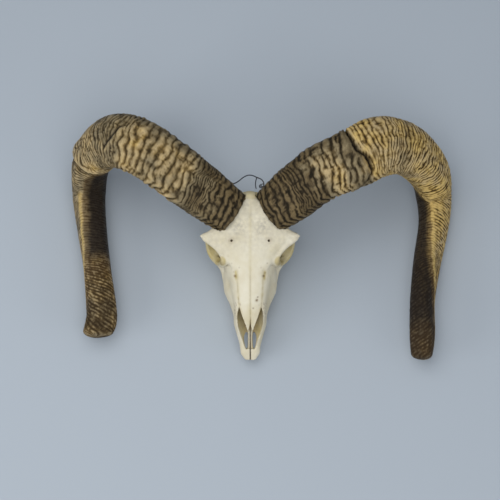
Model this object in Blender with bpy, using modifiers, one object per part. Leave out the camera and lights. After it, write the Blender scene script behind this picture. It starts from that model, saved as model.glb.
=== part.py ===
"""The skull of a large ram without its lower jaw, with both horns, at life size.

Row frame: metres, +Z up, nose towards -Y. The skull lies on its cheek teeth and on the
underside of each horn's bend, so its face plane slopes up from the nose to the poll.

The shapes are written in the face frame, in millimetres: u to the right across the face,
v up the face from the nose to the poll, w out of the face. One empty carries the whole
skull from the face frame to the row frame.
"""

import bmesh
import bpy
from math import atan2, cos, pi, radians, sin, sqrt
from mathutils import Euler, Matrix, Vector

MM = 0.001

# Driving dimensions, in millimetres and degrees.
FACE_TILT = 20.0
FACE_ORIGIN = (-17.1, -18.1, 113.8)
MUZZLE_TIP = -166.5
GAP = 0.3

# Fineness of the skull's surface, and how its masses are blended together.
VOXEL = 1.5
THINNING = 0.0198
SOFTENING_STEPS = 6
SOFTENING = 0.6
PLATE_SIDES = 24
BALL_SIDES = 20
BAR_SIDES = 12
BAR_STEPS = 4

# Where each horn leaves the skull: base centre and the direction it grows in.
LEFT_BASE = (-25.0, 36.5, -24.0)
RIGHT_BASE = (28.0, 38.5, -24.0)
LEFT_AXIS = Vector((-0.81, 0.586, 0.0)).normalized()
RIGHT_AXIS = Vector((0.756, 0.654, 0.0)).normalized()

# Horn stations from base to tip: u, v, w of the middle line, then the whole size from the
# front face to the back and from the upper edge to the lower one.
LEFT_HORN = (
    (*LEFT_BASE, 62, 63),
    (-75, 73, -14, 66, 75),
    (-116, 104, -10, 64, 77),
    (-158, 131, -16, 60, 79),
    (-197, 139, -42, 58, 77),
    (-228, 117, -84, 54, 72),
    (-235, 72, -113, 48, 65),
    (-230, 22, -98.5, 42, 58),
    (-220, -42, -77, 38, 54),
    (-213, -92, -55, 42, 44),
    (-215, -130, -37, 40, 28),
)
RIGHT_HORN = (
    (*RIGHT_BASE, 62, 63),
    (64, 66, -14, 66, 76),
    (101, 94, -8, 66, 79),
    (145, 113, -8, 63, 83),
    (184, 131, -20, 61, 85),
    (225, 126, -49, 60, 77),
    (258, 97, -87, 55, 70),
    (267, 64, -112, 49, 65),
    (265, 22, -99.5, 39, 59),
    (254.5, -31, -83, 35, 54),
    (246, -85, -57, 33, 44),
    (244.5, -134, -37, 36, 32),
    (243, -162, -27, 31, 24),
)
# A horn's section is an oval with three rounded corners, one of them at HORN_RIDGE degrees.
HORN_RIDGE = -45.0
HORN_CORNER = 0.06
HORN_SIDES = 16
HORN_STEPS = 3
# The blunt tip: its rounding, how far it passes the last station, and the rings on it.
TIP_ROUND = 10.0
TIP_FIRST = 6.0
TIP_SHARES = (0.75, 0.4, 0.12)
# Each horn sits on a round seat, with the core of bone behind it.
SEAT_SIZES = (34.0, 35.5)
SEAT_DEPTH = 60.0
SEAT_SIDES = 32
CORE_SIZES = (25.0, 29.0)
CORE_DEPTH = 46.0
CORE_SINK = 0.3
CORE_TAPER = 0.9

BONE_COLOUR = (0.78, 0.72, 0.58)
HORN_COLOUR = (0.24, 0.15, 0.07)
WIRE_COLOUR = (0.05, 0.055, 0.07)

# Muzzle sections from the eyes to the nose: v, then the right half of the outline as
# (u, w) from the middle of the nose round to the middle of the palate.
MUZZLE = (
    (-28, ((0, -1), (22, -5), (36, -30), (36, -58), (31, -86), (13, -89), (0, -87))),
    (-46, ((0, -1), (21, -6), (34, -30), (37, -58), (33, -86), (14, -87), (0, -85))),
    (-62, ((0, -1), (20, -6), (30, -28), (38.5, -56), (32, -81), (14, -83), (0, -81))),
    (-74, ((0, -2.5), (19, -8), (28, -28), (37, -55), (30, -76), (13, -78), (0, -76))),
    (-89, ((0, -5), (18, -11), (24, -28), (29.5, -50), (25, -69), (12, -71), (0, -69))),
    (-104, ((0, -8), (16, -13), (22.5, -29), (24, -44), (21, -60), (10, -62), (0, -60))),
    (-118, ((0, -12), (12, -15), (21, -31), (22, -43), (18, -54), (9, -55), (0, -54))),
    (-134, ((0, -20), (9, -23), (17, -34), (18, -42), (15, -49), (8, -50), (0, -50))),
    (-148, ((0, -30), (8, -31), (13, -35), (14.5, -41), (12, -46), (6, -47), (0, -47))),
    (-160, ((0, -34), (7, -34), (12.5, -36), (13.5, -40), (11, -44), (6, -45), (0, -45))),
    (-169, ((0, -37), (3, -37), (6.5, -37.5), (7.5, -40), (6, -43), (3, -44), (0, -44))),
)

# Open space inside the nose, in the same form: its roof lies under the nasal bones.
NOSE_SPACE = (
    (-84, ((0, -16), (7, -17), (9, -28), (8, -40), (4, -46), (0, -47))),
    (-92, ((0, -9), (13, -14), (17, -28), (15, -40), (7, -50), (0, -51))),
    (-106, ((0, -11.5), (14, -16), (18, -26), (15, -38), (8, -48), (0, -49))),
    (-118, ((0, -15.5), (12, -19), (16.5, -27), (13.5, -36), (8, -43), (0, -44))),
    (-130, ((0, -18), (10, -21), (13, -29), (11.5, -35), (8, -39), (0, -40))),
    (-142, ((0, -18), (8, -21), (9.5, -29), (8.5, -34), (6, -37), (0, -38))),
    (-153, ((0, -20), (4, -24), (4.5, -30), (4, -34), (3, -37), (0, -38))),
)

# The opening of the nose seen from the front: v and the half width that it takes, and the
# heights w that it is cut between.
APERTURE_CUT = (-26.0, 21.0)
APERTURE = ((-93, 17.0), (-104, 18.5), (-118, 17.0), (-134, 12.0), (-150, 6.0), (-157, 1.5))

# Nasal bones seen from the front: v and the half width of the pair.
NASAL_OUTLINE = (
    (-26, 3.0), (-33, 13.0), (-44, 19.0), (-60, 18.5), (-78, 17.0), (-92, 16.0),
    (-104, 12.0), (-116, 7.5), (-124, 3.5), (-127, 1.0),
)
NASAL_FLOOR = -14.0
NASAL_TOP = 20.0

# Slot through the palate beside the middle bars: corners as (u, v), and its heights w.
PALATE_CUT = (-62.0, -30.0)
PALATE_SLOT = (
    (4.6, -129), (7.0, -130), (9.4, -136), (9.0, -144), (6.8, -151), (4.8, -155), (3.6, -150),
    (3.2, -142), (3.2, -134),
)

# Frontal plate: v, half width, and the height of its middle.
FRONTAL = (
    (-34, 30, 0), (-24, 35, 0.5), (-14, 43, 1), (-4, 57, 1), (3, 67, 0.5), (8, 67, 0),
    (14, 58, -1), (24, 44, -2), (36, 34, -3), (48, 24, -5), (58, 16, -7), (66, 10, -12),
)
FRONTAL_DEPTH = 9.0

# Bars of bone on the right side: u, v, w, radius, and how much deeper than wide.
ORBIT_RING = (
    (39, -31, -13, 5.0, 1.2), (45, -18, -9, 4.5, 1.0), (53, -8, -8, 4.5, 1.0),
    (61, 2, -11, 5.0, 1.0), (61, 5, -23, 5.0, 1.3), (58, 2, -38, 5.0, 1.3),
    (57, -10, -51, 5.0, 1.3), (53, -21, -54, 4.8, 1.4), (46, -30, -50, 5.2, 1.4),
    (40, -35, -34, 5.5, 1.3),
)
SIDE_BARS = (
    ((56, -16, -54, 4.0, 1.8), (58, 2, -62, 3.6, 1.7), (56, 20, -71, 3.4, 1.6),
     (49, 36, -77, 4.0, 1.4), (34, 47, -80, 8.0, 1.0)),
    ((45, -28, -52, 6.0, 1.6), (37, -42, -60, 5.5, 1.3), (33, -58, -65, 6.0, 1.0)),
    ((25, 52, -88, 7.0, 1.2), (26, 49, -106, 5.0, 1.2), (26, 43, -127, 2.6, 1.2)),
    ((15, 54, -90, 9.0, 1.0), (12, 58, -99, 7.0, 1.0)),
    ((16, -32, -88, 4.5, 1.6), (13, -18, -93, 2.6, 2.2), (11, 2, -93, 2.6, 2.0),
     (9, 14, -90, 4.0, 1.0)),
    ((22, -40, -80, 9.0, 1.0), (20, -18, -74, 8.0, 1.2), (17, 4, -78, 8.0, 1.0)),
    ((6, 66, -52, 5.0, 1.0), (24, 60, -56, 5.0, 1.2), (36, 48, -70, 5.0, 1.2), (34, 47, -86, 6.0, 1.0)),
)
# Rounded masses of bone: centre, half sizes and turn about u in degrees.
MIDDLE_MASSES = (
    ((0, 32, -58), (35, 35, 36), 0),
    ((0, 44, -68), (32, 20, 28), 0),
    ((0, 2, -42), (25, 42, 38), 0),
    ((0, 20, -87), (15, 44, 8), 0),
    ((0, 54, -36), (16, 13, 30), -10),
)
SIDE_MASSES = (
    ((36, 32, -82), (15, 10, 7), 0),
    ((18, 31, -96), (8, 12, 11), 0),
    ((33, -16, -14), (14, 18, 9), 0),
    ((28, 2, -28), (22, 20, 18), 0),
)

# Spaces cut out: centre and half sizes. The right orbit also turns about w, in degrees.
ORBIT = ((53, -17, -31), (26, 16.5, 18.0))
ORBIT_TURN = 38.0
THROAT = ((0, -20, -98), (9.0, 24, 11))
FORAMEN_MAGNUM = ((0, 66, -82), (9.5, 22, 8.5))

# Small holes through the bone of the right side: centre and radius.
SUPRAORBITAL_HOLE = ((26.2, 0.0, 0.0), 1.7)
INFRAORBITAL_HOLE = ((24.0, -92.0, -52.0), 2.6)
HOLE_DEPTH = 16.0
HOLE_SIDES = 12

# Cheek teeth of the right side from front to back: length, width, middle u. The row
# starts at TOOTH_FRONT, measured along the floor from the face frame's origin.
TEETH = (
    (9, 9, 17.0), (10, 11, 18.5), (11, 12.5, 20.5), (14, 14, 22.5), (16, 15, 24.5), (16, 14, 25.5),
)
TOOTH_FRONT = -81.0
TOOTH_FOOT = -4.0
TOOTH_HEIGHT = 34.0
TOOTH_LOBE = 0.16
TOOTH_FILL = 0.485
TOOTH_SQUARE = 1.2
TOOTH_SIDES = 12

# Seams between bones: a point (v, w) and the lean from the w axis, in degrees.
CHEEK_SEAM = (-47.0, 0.0, -5.0)
MUZZLE_SEAM = (-98.0, -20.0, 45.0)
POLL_SEAM = (58.0, -20.0, 10.6)
POLL_TOP = -18.0
# The brow bones lie above this height w. The right cheekbone lies below it too, outside u
# and in front of v of its own corner.
BROW_FLOOR = -44.0
CHEEKBONE = (38.0, 21.5)
SLIT_START = -95.0
SLIT_END_HALF = 1.0

# Sizes of the blocks that part the bones and cut at the floor.
REGION_SIZE = 900.0
FLOOR_DEPTH = 200.0

# Hanging wire at the poll: routes in u, v, w and the wire's radii.
WIRE_MAIN = (
    (-40, 84, -50), (-31, 82, -46), (-23, 81, -42), (-15.5, 85, -40), (-10.5, 89, -39),
    (-5, 92, -38), (0, 92.8, -38), (5, 91.6, -38), (9.5, 89.5, -38), (15.5, 87, -37),
    (18.5, 83, -34), (19.4, 79, -30), (18, 76, -27),
)
WIRE_DROP = ((9.5, 89.5, -38), (8, 85, -38), (7.4, 80, -38), (7.8, 76, -38), (8.6, 73.5, -39))
WIRE_RADIUS = 1.0
WIRE_DROP_RADIUS = 0.8


def vector(point):
    """A point of the face frame, given in millimetres, in metres."""
    return Vector(point[:3]) * MM


def spline(points, parts, closed=False):
    """Points along a smooth curve through the given points, with equal parts to a span."""
    knots = [Vector(point) for point in points]
    count = len(knots)
    curve = []
    for index in range(count if closed else count - 1):
        here = knots[index]
        after = knots[(index + 1) % count]
        before = knots[index - 1] if closed or index else 2 * here - after
        beyond = knots[(index + 2) % count] if closed or index + 2 < count else 2 * after - here
        for part in range(parts):
            t = part / parts
            slope = (after - before) * t
            bend = (2 * before - 5 * here + 4 * after - beyond) * t**2
            twist = (3 * here - before - 3 * after + beyond) * t**3
            curve.append(here + 0.5 * (slope + bend + twist))
    if not closed:
        curve.append(knots[-1])
    return curve


def collection(name):
    made = bpy.data.collections.new(name)
    bpy.context.scene.collection.children.link(made)
    return made


def make_object(name, bm, home):
    """An object of the finished bmesh, carried by the skull's empty."""
    mesh = bpy.data.meshes.new(name)
    bmesh.ops.recalc_face_normals(bm, faces=bm.faces[:])
    bm.to_mesh(mesh)
    bm.free()
    obj = bpy.data.objects.new(name, mesh)
    home.objects.link(obj)
    obj.parent = FACE
    return obj


def cutter(name, bm):
    obj = make_object(name, bm, CUTTERS)
    obj.hide_render = True
    obj.display_type = "WIRE"
    return obj


def boolean(obj, tool, operation="DIFFERENCE"):
    cut = obj.modifiers.new(tool.name, "BOOLEAN")
    cut.object = tool
    cut.operation = operation
    cut.solver = "EXACT"


def apply_modifiers(obj):
    depsgraph = bpy.context.evaluated_depsgraph_get()
    obj.data = bpy.data.meshes.new_from_object(obj.evaluated_get(depsgraph))
    obj.modifiers.clear()


def ball(bm, centre, sizes, turn=(0, 0, 0), segments=BALL_SIDES):
    place = Matrix.LocRotScale(vector(centre), Euler([radians(a) for a in turn]), vector(sizes))
    bmesh.ops.create_uvsphere(
        bm, u_segments=segments, v_segments=segments // 2, radius=1.0, matrix=place
    )


def rings_along(stations, sides, closed=False):
    """Oval rings round a row of points: u, v, w, radius and how much deeper than wide."""
    rings = []
    count = len(stations)
    across = None
    for index, station in enumerate(stations):
        before = stations[index - 1] if closed or index else station
        after = stations[(index + 1) % count] if closed or index + 1 < count else station
        ahead = (after - before).to_3d().normalized()
        if across is None:
            across = ahead.cross(Vector((0, 0, 1)))
            if across.length < 0.3:
                across = Vector((1, 0, 0))
        across = (across - ahead * across.dot(ahead)).normalized()
        deep = across.cross(ahead)
        ring = []
        for side in range(sides):
            angle = 2 * pi * side / sides
            offset = across * cos(angle) + deep * (sin(angle) * station[4])
            ring.append((station.to_3d() + offset * station[3]) * MM)
        rings.append(ring)
    return rings


def bar(bm, stations, side=1, closed=False):
    """A bar of bone with rounded ends through a row of stations."""
    placed = [(side * u, v, w, r, deep) for u, v, w, r, deep in stations]
    line = spline(placed, BAR_STEPS, closed)
    loft(bm, rings_along(line, BAR_SIDES, closed), closed)
    if not closed:
        for end in (line[0], line[-1]):
            ball(bm, end, [end[3]] * 3, segments=BAR_SIDES)


def loft(bm, rings, closed=False):
    """A closed skin over rings with equal numbers of points."""
    rows = [[bm.verts.new(point) for point in ring] for ring in rings]
    sides = len(rows[0])
    for low, high in zip(rows, rows[1:] + rows[:1] if closed else rows[1:]):
        for k in range(sides):
            bm.faces.new((low[k], low[(k + 1) % sides], high[(k + 1) % sides], high[k]))
    if not closed:
        bm.faces.new(reversed(rows[0]))
        bm.faces.new(rows[-1])


def half_loft(bm, sections, parts=3):
    """A loft along v through sections that are given as right halves."""
    rings = []
    for v, half in sections:
        outline = list(half) + [(-u, w) for u, w in reversed(half[1:-1])]
        rings.append([vector((u, v, w)) for u, w in spline(outline, parts, closed=True)])
    loft(bm, rings)


def prism(bm, outline, low, high):
    """An outline of (u, v) points made solid between two heights w."""
    base = [bm.verts.new(vector((u, v, low))) for u, v in outline]
    face = bm.faces.new(base)
    wall = bmesh.ops.extrude_face_region(bm, geom=[face])
    lifted = [item for item in wall["geom"] if isinstance(item, bmesh.types.BMVert)]
    bmesh.ops.translate(bm, verts=lifted, vec=vector((0, 0, high - low)))


def both_sides(rows, grow=0.0):
    """The whole outline of a shape given as rows of v and half width."""
    right = [(half + grow, v) for v, half in rows]
    return right + [(-u, v) for u, v in reversed(right)]


def finish(obj, colour, roughness, metallic=0.0):
    """Give a sub-part its own material and smooth shading."""
    made = bpy.data.materials.new(obj.name + "_finish")
    made.use_nodes = True
    made.diffuse_color = (*colour, 1.0)
    shader = made.node_tree.nodes["Principled BSDF"]
    shader.inputs["Base Color"].default_value = (*colour, 1.0)
    shader.inputs["Roughness"].default_value = roughness
    shader.inputs["Metallic"].default_value = metallic
    obj.data.materials.clear()
    obj.data.materials.append(made)
    obj.data.shade_smooth()
    obj.data.set_sharp_from_angle(angle=radians(40))


def skull_mass():
    """All the skull's bone as one mass, before any opening is cut."""
    bm = bmesh.new()
    half_loft(bm, MUZZLE)
    plate = []
    for v, half, top in FRONTAL:
        ring = []
        for step in range(PLATE_SIDES):
            angle = 2 * pi * step / PLATE_SIDES
            w = top - FRONTAL_DEPTH + FRONTAL_DEPTH * sin(angle)
            ring.append(vector((half * cos(angle), v, w)))
        plate.append(ring)
    loft(bm, plate)
    for centre, sizes, turn in MIDDLE_MASSES:
        ball(bm, centre, sizes, (turn, 0, 0))
    for side in (-1, 1):
        for (u, v, w), sizes, turn in SIDE_MASSES:
            ball(bm, (side * u, v, w), sizes, (turn, 0, 0))
        bar(bm, ORBIT_RING, side, closed=True)
        for stations in SIDE_BARS:
            bar(bm, stations, side)
    for base, axis in ((LEFT_BASE, LEFT_AXIS), (RIGHT_BASE, RIGHT_AXIS)):
        core(bm, base, axis)
    mass = make_object("skull_mass", bm, SKULL)
    remesh = mass.modifiers.new("blend", "REMESH")
    remesh.mode = "VOXEL"
    remesh.voxel_size = VOXEL * MM
    smooth = mass.modifiers.new("soften", "SMOOTH")
    smooth.iterations = SOFTENING_STEPS
    smooth.factor = SOFTENING
    thin = mass.modifiers.new("thin", "DECIMATE")
    thin.ratio = THINNING
    apply_modifiers(mass)
    return mass


def core(bm, base, axis):
    """The bony core of a horn, from inside the skull to just past the horn's base."""
    size = Matrix.Diagonal((CORE_SIZES[0] * MM, CORE_SIZES[1] * MM, 1.0, 1.0))
    sunk = Matrix.Translation((0, 0, -CORE_SINK * CORE_DEPTH * MM))
    bmesh.ops.create_cone(
        bm, cap_ends=True, segments=SEAT_SIDES, radius1=CORE_TAPER, radius2=1.0,
        depth=CORE_DEPTH * MM, matrix=axis_frame(base, axis) @ sunk @ size,
    )


def axis_frame(base, axis):
    """A place with Z along the axis and X out of the face."""
    front = Vector((0, 0, 1))
    across = axis.cross(front)
    turn = Matrix((front, across, axis)).transposed().to_4x4()
    return Matrix.Translation(vector(base)) @ turn


def prism_cutter(name, outline, low, high):
    bm = bmesh.new()
    prism(bm, outline, low, high)
    return cutter(name, bm)


def ball_cutter(name, centre, sizes, turn=0.0):
    bm = bmesh.new()
    ball(bm, centre, sizes, (0, 0, turn))
    return cutter(name, bm)


def hole_cutter(name, centre, radius, axis):
    """A round hole along a direction of the face frame."""
    bm = bmesh.new()
    place = Matrix.LocRotScale(vector(centre), Vector(axis).to_track_quat("Z", "Y"), None)
    bmesh.ops.create_cone(
        bm, cap_ends=True, segments=HOLE_SIDES, radius1=radius * MM, radius2=radius * MM,
        depth=HOLE_DEPTH * MM, matrix=place,
    )
    return cutter(name, bm)


def horn_seat_cutter(name, base, axis):
    """The space outside a horn's base plane, round the horn only."""
    bm = bmesh.new()
    away = Matrix.Translation((0, 0, (0.5 * SEAT_DEPTH - GAP) * MM))
    size = Matrix.Diagonal((SEAT_SIZES[0] * MM, SEAT_SIZES[1] * MM, 1.0, 1.0))
    bmesh.ops.create_cone(
        bm, cap_ends=True, segments=SEAT_SIDES, radius1=1.0, radius2=1.0, depth=SEAT_DEPTH * MM,
        matrix=axis_frame(base, axis) @ away @ size,
    )
    return cutter(name, bm)


def floor_cutter():
    """Everything below the floor that the skull lies on."""
    bm = bmesh.new()
    place = FACE_MATRIX.inverted() @ Matrix.Translation((0, 0, -0.5 * FLOOR_DEPTH * MM))
    size = Matrix.Diagonal((REGION_SIZE * MM, REGION_SIZE * MM, FLOOR_DEPTH * MM, 1.0))
    bmesh.ops.create_cube(bm, size=1.0, matrix=place @ size)
    return cutter("below_floor", bm)


def tooth_row(side):
    """One side's cheek teeth as upright two-lobed columns that pass below the floor."""
    bm = bmesh.new()
    start = TOOTH_FRONT
    for length, width, middle in TEETH:
        base = []
        for step in range(TOOTH_SIDES):
            angle = 2 * pi * step / TOOTH_SIDES
            reach = 1 - TOOTH_LOBE * cos(2 * angle) ** 2 * abs(cos(angle))
            x = side * (middle + 0.5 * width * cos(angle) * reach)
            along = max(-1, min(1, TOOTH_SQUARE * sin(angle)))
            y = start + (0.5 + TOOTH_FILL * along) * length
            base.append(bm.verts.new((x * MM, y * MM, TOOTH_FOOT * MM)))
        face = bm.faces.new(base)
        wall = bmesh.ops.extrude_face_region(bm, geom=[face])
        lifted = [item for item in wall["geom"] if isinstance(item, bmesh.types.BMVert)]
        bmesh.ops.translate(bm, verts=lifted, vec=(0, 0, TOOTH_HEIGHT * MM))
        start += length
    floor = Matrix.Translation((0, 0, -FACE_ORIGIN[2] * MM))
    turn = Matrix.Rotation(-radians(FACE_TILT), 4, "X")
    bmesh.ops.transform(bm, matrix=turn @ floor, verts=bm.verts[:])
    return cutter("teeth_" + SIDE_NAME[side], bm)


def region(name, planes, grow=-0.5 * GAP):
    """A large block that lies inside all the given planes: point and outward normal."""
    bm = bmesh.new()
    bmesh.ops.create_cube(bm, size=REGION_SIZE * MM)
    for point, normal in planes:
        parts = bm.verts[:] + bm.edges[:] + bm.faces[:]
        outward = Vector(normal).normalized()
        place = vector(point) + outward * (grow * MM)
        cut = bmesh.ops.bisect_plane(
            bm, geom=parts, plane_co=place, plane_no=outward, clear_outer=True
        )
        rim = [item for item in cut["geom_cut"] if isinstance(item, bmesh.types.BMEdge)]
        bmesh.ops.contextual_create(bm, geom=rim)
    return cutter(name, bm)


def seam(place, side=1):
    """A seam that crosses the skull, as a point and the normal towards the poll or nose."""
    v, w, lean = place
    return (0, v, w), side * Vector((0, cos(radians(lean)), -sin(radians(lean))))


def bone(name, source, tools):
    """A named bone: a copy of the source cut by pairs of (operation, cutter)."""
    obj = bpy.data.objects.new(name, source.data.copy())
    SKULL.objects.link(obj)
    obj.parent = FACE
    for operation, tool in tools:
        boolean(obj, tool, operation)
    apply_modifiers(obj)
    finish(obj, BONE_COLOUR, 0.55)
    return obj


def horn(name, stations, axis):
    """A horn as a loft of rounded three-cornered sections along its middle line."""
    line = spline(stations, HORN_STEPS)
    front = Vector((0, 0, 1))
    total = sum((b.to_3d() - a.to_3d()).length for a, b in zip(line, line[1:]))
    run = 0.0
    rings = []
    for index, here in enumerate(line):
        if index:
            run += (here.to_3d() - line[index - 1].to_3d()).length
        if index == 0:
            ahead = axis
        else:
            ahead = (line[min(index + 1, len(line) - 1)] - line[index - 1]).to_3d().normalized()
        front = (front - ahead * front.dot(ahead)).normalized()
        upper = ahead.cross(front) * (1 if axis[0] < 0 else -1)
        left = max(0.0, total - run)
        rings.append(horn_ring(here, front, upper, tip_scale(left)))
    for share in TIP_SHARES:
        ring = horn_ring(line[-1], front, upper, tip_scale((share - 1) * TIP_FIRST))
        push = ahead * ((1 - share) * TIP_FIRST * MM)
        rings.append([point + push for point in ring])
    bm = bmesh.new()
    loft(bm, rings)
    obj = make_object(name, bm, SKULL)
    boolean(obj, FLOOR, "DIFFERENCE")
    apply_modifiers(obj)
    finish(obj, HORN_COLOUR, 0.6)
    return obj


def tip_scale(left):
    """How far a section near the blunt tip is drawn in, from the length left to the end."""
    reach = min(1.0, (left + TIP_FIRST) / TIP_ROUND)
    return sqrt(1 - (1 - reach) ** 2)


def horn_ring(station, front, upper, scale):
    ring = []
    for side in range(HORN_SIDES):
        angle = 2 * pi * side / HORN_SIDES
        shape = 1 + HORN_CORNER * cos(3 * (angle - radians(HORN_RIDGE)))
        depth = 0.5 * station[3] * cos(angle) * shape * scale
        height = 0.5 * station[4] * sin(angle) * shape * scale
        ring.append((station.to_3d() + front * depth + upper * height) * MM)
    return ring


def wire_mesh(name, route, radius):
    """A round wire with closed ends along a smooth route."""
    curve = bpy.data.curves.new(name, "CURVE")
    curve.dimensions = "3D"
    curve.bevel_depth = radius * MM
    curve.bevel_resolution = 1
    curve.use_fill_caps = True
    points = spline(route, 2)
    poly = curve.splines.new("POLY")
    poly.points.add(len(points) - 1)
    for point, place in zip(poly.points, points):
        point.co = (*vector(place), 1.0)
    holder = bpy.data.objects.new(name + "_curve", curve)
    SKULL.objects.link(holder)
    depsgraph = bpy.context.evaluated_depsgraph_get()
    mesh = bpy.data.meshes.new_from_object(holder.evaluated_get(depsgraph))
    bpy.data.objects.remove(holder)
    bm = bmesh.new()
    bm.from_mesh(mesh)
    bmesh.ops.remove_doubles(bm, verts=bm.verts, dist=0.00001)
    return bm


for old in list(bpy.data.objects):
    bpy.data.objects.remove(old)

SIDE_NAME = {-1: "left", 1: "right"}
SKULL = collection("ram_skull")
CUTTERS = collection("cutters")
FACE = bpy.data.objects.new("face_frame", None)
SKULL.objects.link(FACE)
FACE_MATRIX = Matrix.Translation(vector(FACE_ORIGIN)) @ Matrix.Rotation(radians(FACE_TILT), 4, "X")
FACE.matrix_world = FACE_MATRIX
FLOOR = floor_cutter()

# The mass of bone and its openings.
skull = skull_mass()
for side in (-1, 1):
    name = SIDE_NAME[side]
    (u, v, w), sizes = ORBIT
    boolean(skull, ball_cutter("orbit_" + name, (side * u, v, w), sizes, -side * ORBIT_TURN))
    (u, v, w), radius = SUPRAORBITAL_HOLE
    boolean(skull, hole_cutter("brow_hole_" + name, (side * u, v, w), radius, (0, 0, 1)))
    (u, v, w), radius = INFRAORBITAL_HOLE
    boolean(skull, hole_cutter("cheek_hole_" + name, (side * u, v, w), radius, (1, -side, 0)))
boolean(skull, ball_cutter("throat", *THROAT))
boolean(skull, ball_cutter("foramen_magnum", *FORAMEN_MAGNUM))
boolean(skull, horn_seat_cutter("seat_left", LEFT_BASE, LEFT_AXIS))
boolean(skull, horn_seat_cutter("seat_right", RIGHT_BASE, RIGHT_AXIS))
apply_modifiers(skull)

# The nasal bones take their outline from the mass before the nose is opened.
nose_bm = bmesh.new()
half_loft(nose_bm, NOSE_SPACE)
nose_space = cutter("nose_space", nose_bm)
nasal_outline = both_sides(NASAL_OUTLINE)
nasal_block = prism_cutter("nasal_block", nasal_outline, NASAL_FLOOR, NASAL_TOP)
for side in (-1, 1):
    half = region("nasal_half_" + SIDE_NAME[side], [((0, 0, 0), (-side, 0, 0))])
    tools = [("INTERSECT", nasal_block), ("DIFFERENCE", nose_space), ("INTERSECT", half)]
    bone("nasal_" + SIDE_NAME[side], skull, tools)

# The rest of the skull with its nose open, and teeth that reach the floor.
nasal_seat = both_sides(NASAL_OUTLINE, GAP)
boolean(skull, prism_cutter("nasal_seat", nasal_seat, NASAL_FLOOR - GAP, NASAL_TOP + GAP))
boolean(skull, nose_space)
boolean(skull, prism_cutter("aperture", both_sides(APERTURE), *APERTURE_CUT))
for side in (-1, 1):
    slot = [(side * u, v) for u, v in PALATE_SLOT]
    boolean(skull, prism_cutter("palate_slot_" + SIDE_NAME[side], slot, *PALATE_CUT))
    boolean(skull, tooth_row(side), "UNION")
boolean(skull, FLOOR)
apply_modifiers(skull)

# The bones on each side, and what is left between them.
slit_turn = atan2(SLIT_END_HALF - 0.5 * GAP, SLIT_START - MUZZLE_TIP)
poll = [seam(POLL_SEAM, -1), ((0, 0, POLL_TOP), (0, 0, 1))]
poll_seat = ("DIFFERENCE", region("poll_seat", poll, 0.5 * GAP))
below_brow = ((0, 0, BROW_FLOOR), (0, 0, 1))
above_brow = ((0, 0, BROW_FLOOR), (0, 0, -1))
cranium = [("INTERSECT", region("behind_cheeks", [seam(CHEEK_SEAM, -1), below_brow])), poll_seat]
for side in (-1, 1):
    name = SIDE_NAME[side]
    inward = (-side, 0, 0)
    middle = ((0, 0, 0), inward)
    cheek = region("cheek_" + name, [seam(CHEEK_SEAM), seam(MUZZLE_SEAM, -1), middle])
    bone("maxilla_" + name, skull, [("INTERSECT", cheek)])
    slit = ((0, SLIT_START, 0), (-side * cos(slit_turn), -sin(slit_turn), 0))
    muzzle = region("muzzle_" + name, [seam(MUZZLE_SEAM), slit])
    bone("premaxilla_" + name, skull, [("INTERSECT", muzzle)])
    brow = region("brow_" + name, [seam(CHEEK_SEAM, -1), above_brow, middle])
    bone("frontal_" + name, skull, [("INTERSECT", brow), poll_seat])
    u, v = CHEEKBONE
    corner = (side * u, v, BROW_FLOOR)
    arch = [seam(CHEEK_SEAM, -1), (corner, inward), (corner, (0, 1, 0)), below_brow]
    bone("zygomatic_" + name, skull, [("INTERSECT", region("arch_" + name, arch))])
    cranium.append(("DIFFERENCE", region("arch_seat_" + name, arch, 0.5 * GAP)))
bone("occipital", skull, [("INTERSECT", region("poll", poll))])
bone("cranium", skull, cranium)
bpy.data.objects.remove(skull)

horn("horn_left", LEFT_HORN, LEFT_AXIS)
horn("horn_right", RIGHT_HORN, RIGHT_AXIS)

wire = make_object("hanging_wire", wire_mesh("hanging_wire", WIRE_MAIN, WIRE_RADIUS), SKULL)
drop = cutter("wire_drop", wire_mesh("wire_drop", WIRE_DROP, WIRE_DROP_RADIUS))
boolean(wire, drop, "UNION")
apply_modifiers(wire)
finish(wire, WIRE_COLOUR, 0.45, 0.8)
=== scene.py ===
from math import cos, pi, radians, sin

import bmesh
import bpy
import numpy as np
from mathutils import Euler, Matrix, Vector, noise


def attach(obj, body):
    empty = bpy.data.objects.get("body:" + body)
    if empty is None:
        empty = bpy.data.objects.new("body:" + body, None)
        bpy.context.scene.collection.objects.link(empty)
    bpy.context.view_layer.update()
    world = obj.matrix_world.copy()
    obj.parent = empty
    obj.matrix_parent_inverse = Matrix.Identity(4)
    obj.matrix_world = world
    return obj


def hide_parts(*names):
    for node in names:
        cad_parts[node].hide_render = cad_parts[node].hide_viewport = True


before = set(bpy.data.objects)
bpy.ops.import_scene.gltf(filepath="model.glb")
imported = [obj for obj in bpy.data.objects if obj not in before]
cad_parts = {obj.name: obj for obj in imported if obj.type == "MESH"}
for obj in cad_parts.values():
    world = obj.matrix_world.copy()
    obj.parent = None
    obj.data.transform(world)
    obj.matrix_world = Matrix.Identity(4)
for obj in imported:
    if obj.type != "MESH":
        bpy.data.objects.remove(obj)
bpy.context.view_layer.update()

# ---- The bone, as one mass --------------------------------------------------------------
# A ram's skull is plates of bone round the brain, eyes and nose, grown together at their
# edges. The mass is a muzzle, a brow plate, bars and rounded lumps, melted into one skin.
# Sizes are millimetres on the face: u to the right, v up to the poll, w out of the face.

MM = 0.001
FACE_TILT = radians(20)
FACE = Matrix.Translation(Vector((-17.1, -18.1, 113.8)) * MM) @ Matrix.Rotation(FACE_TILT, 4, "X")
FACE_BACK = np.array(FACE.inverted())

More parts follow.
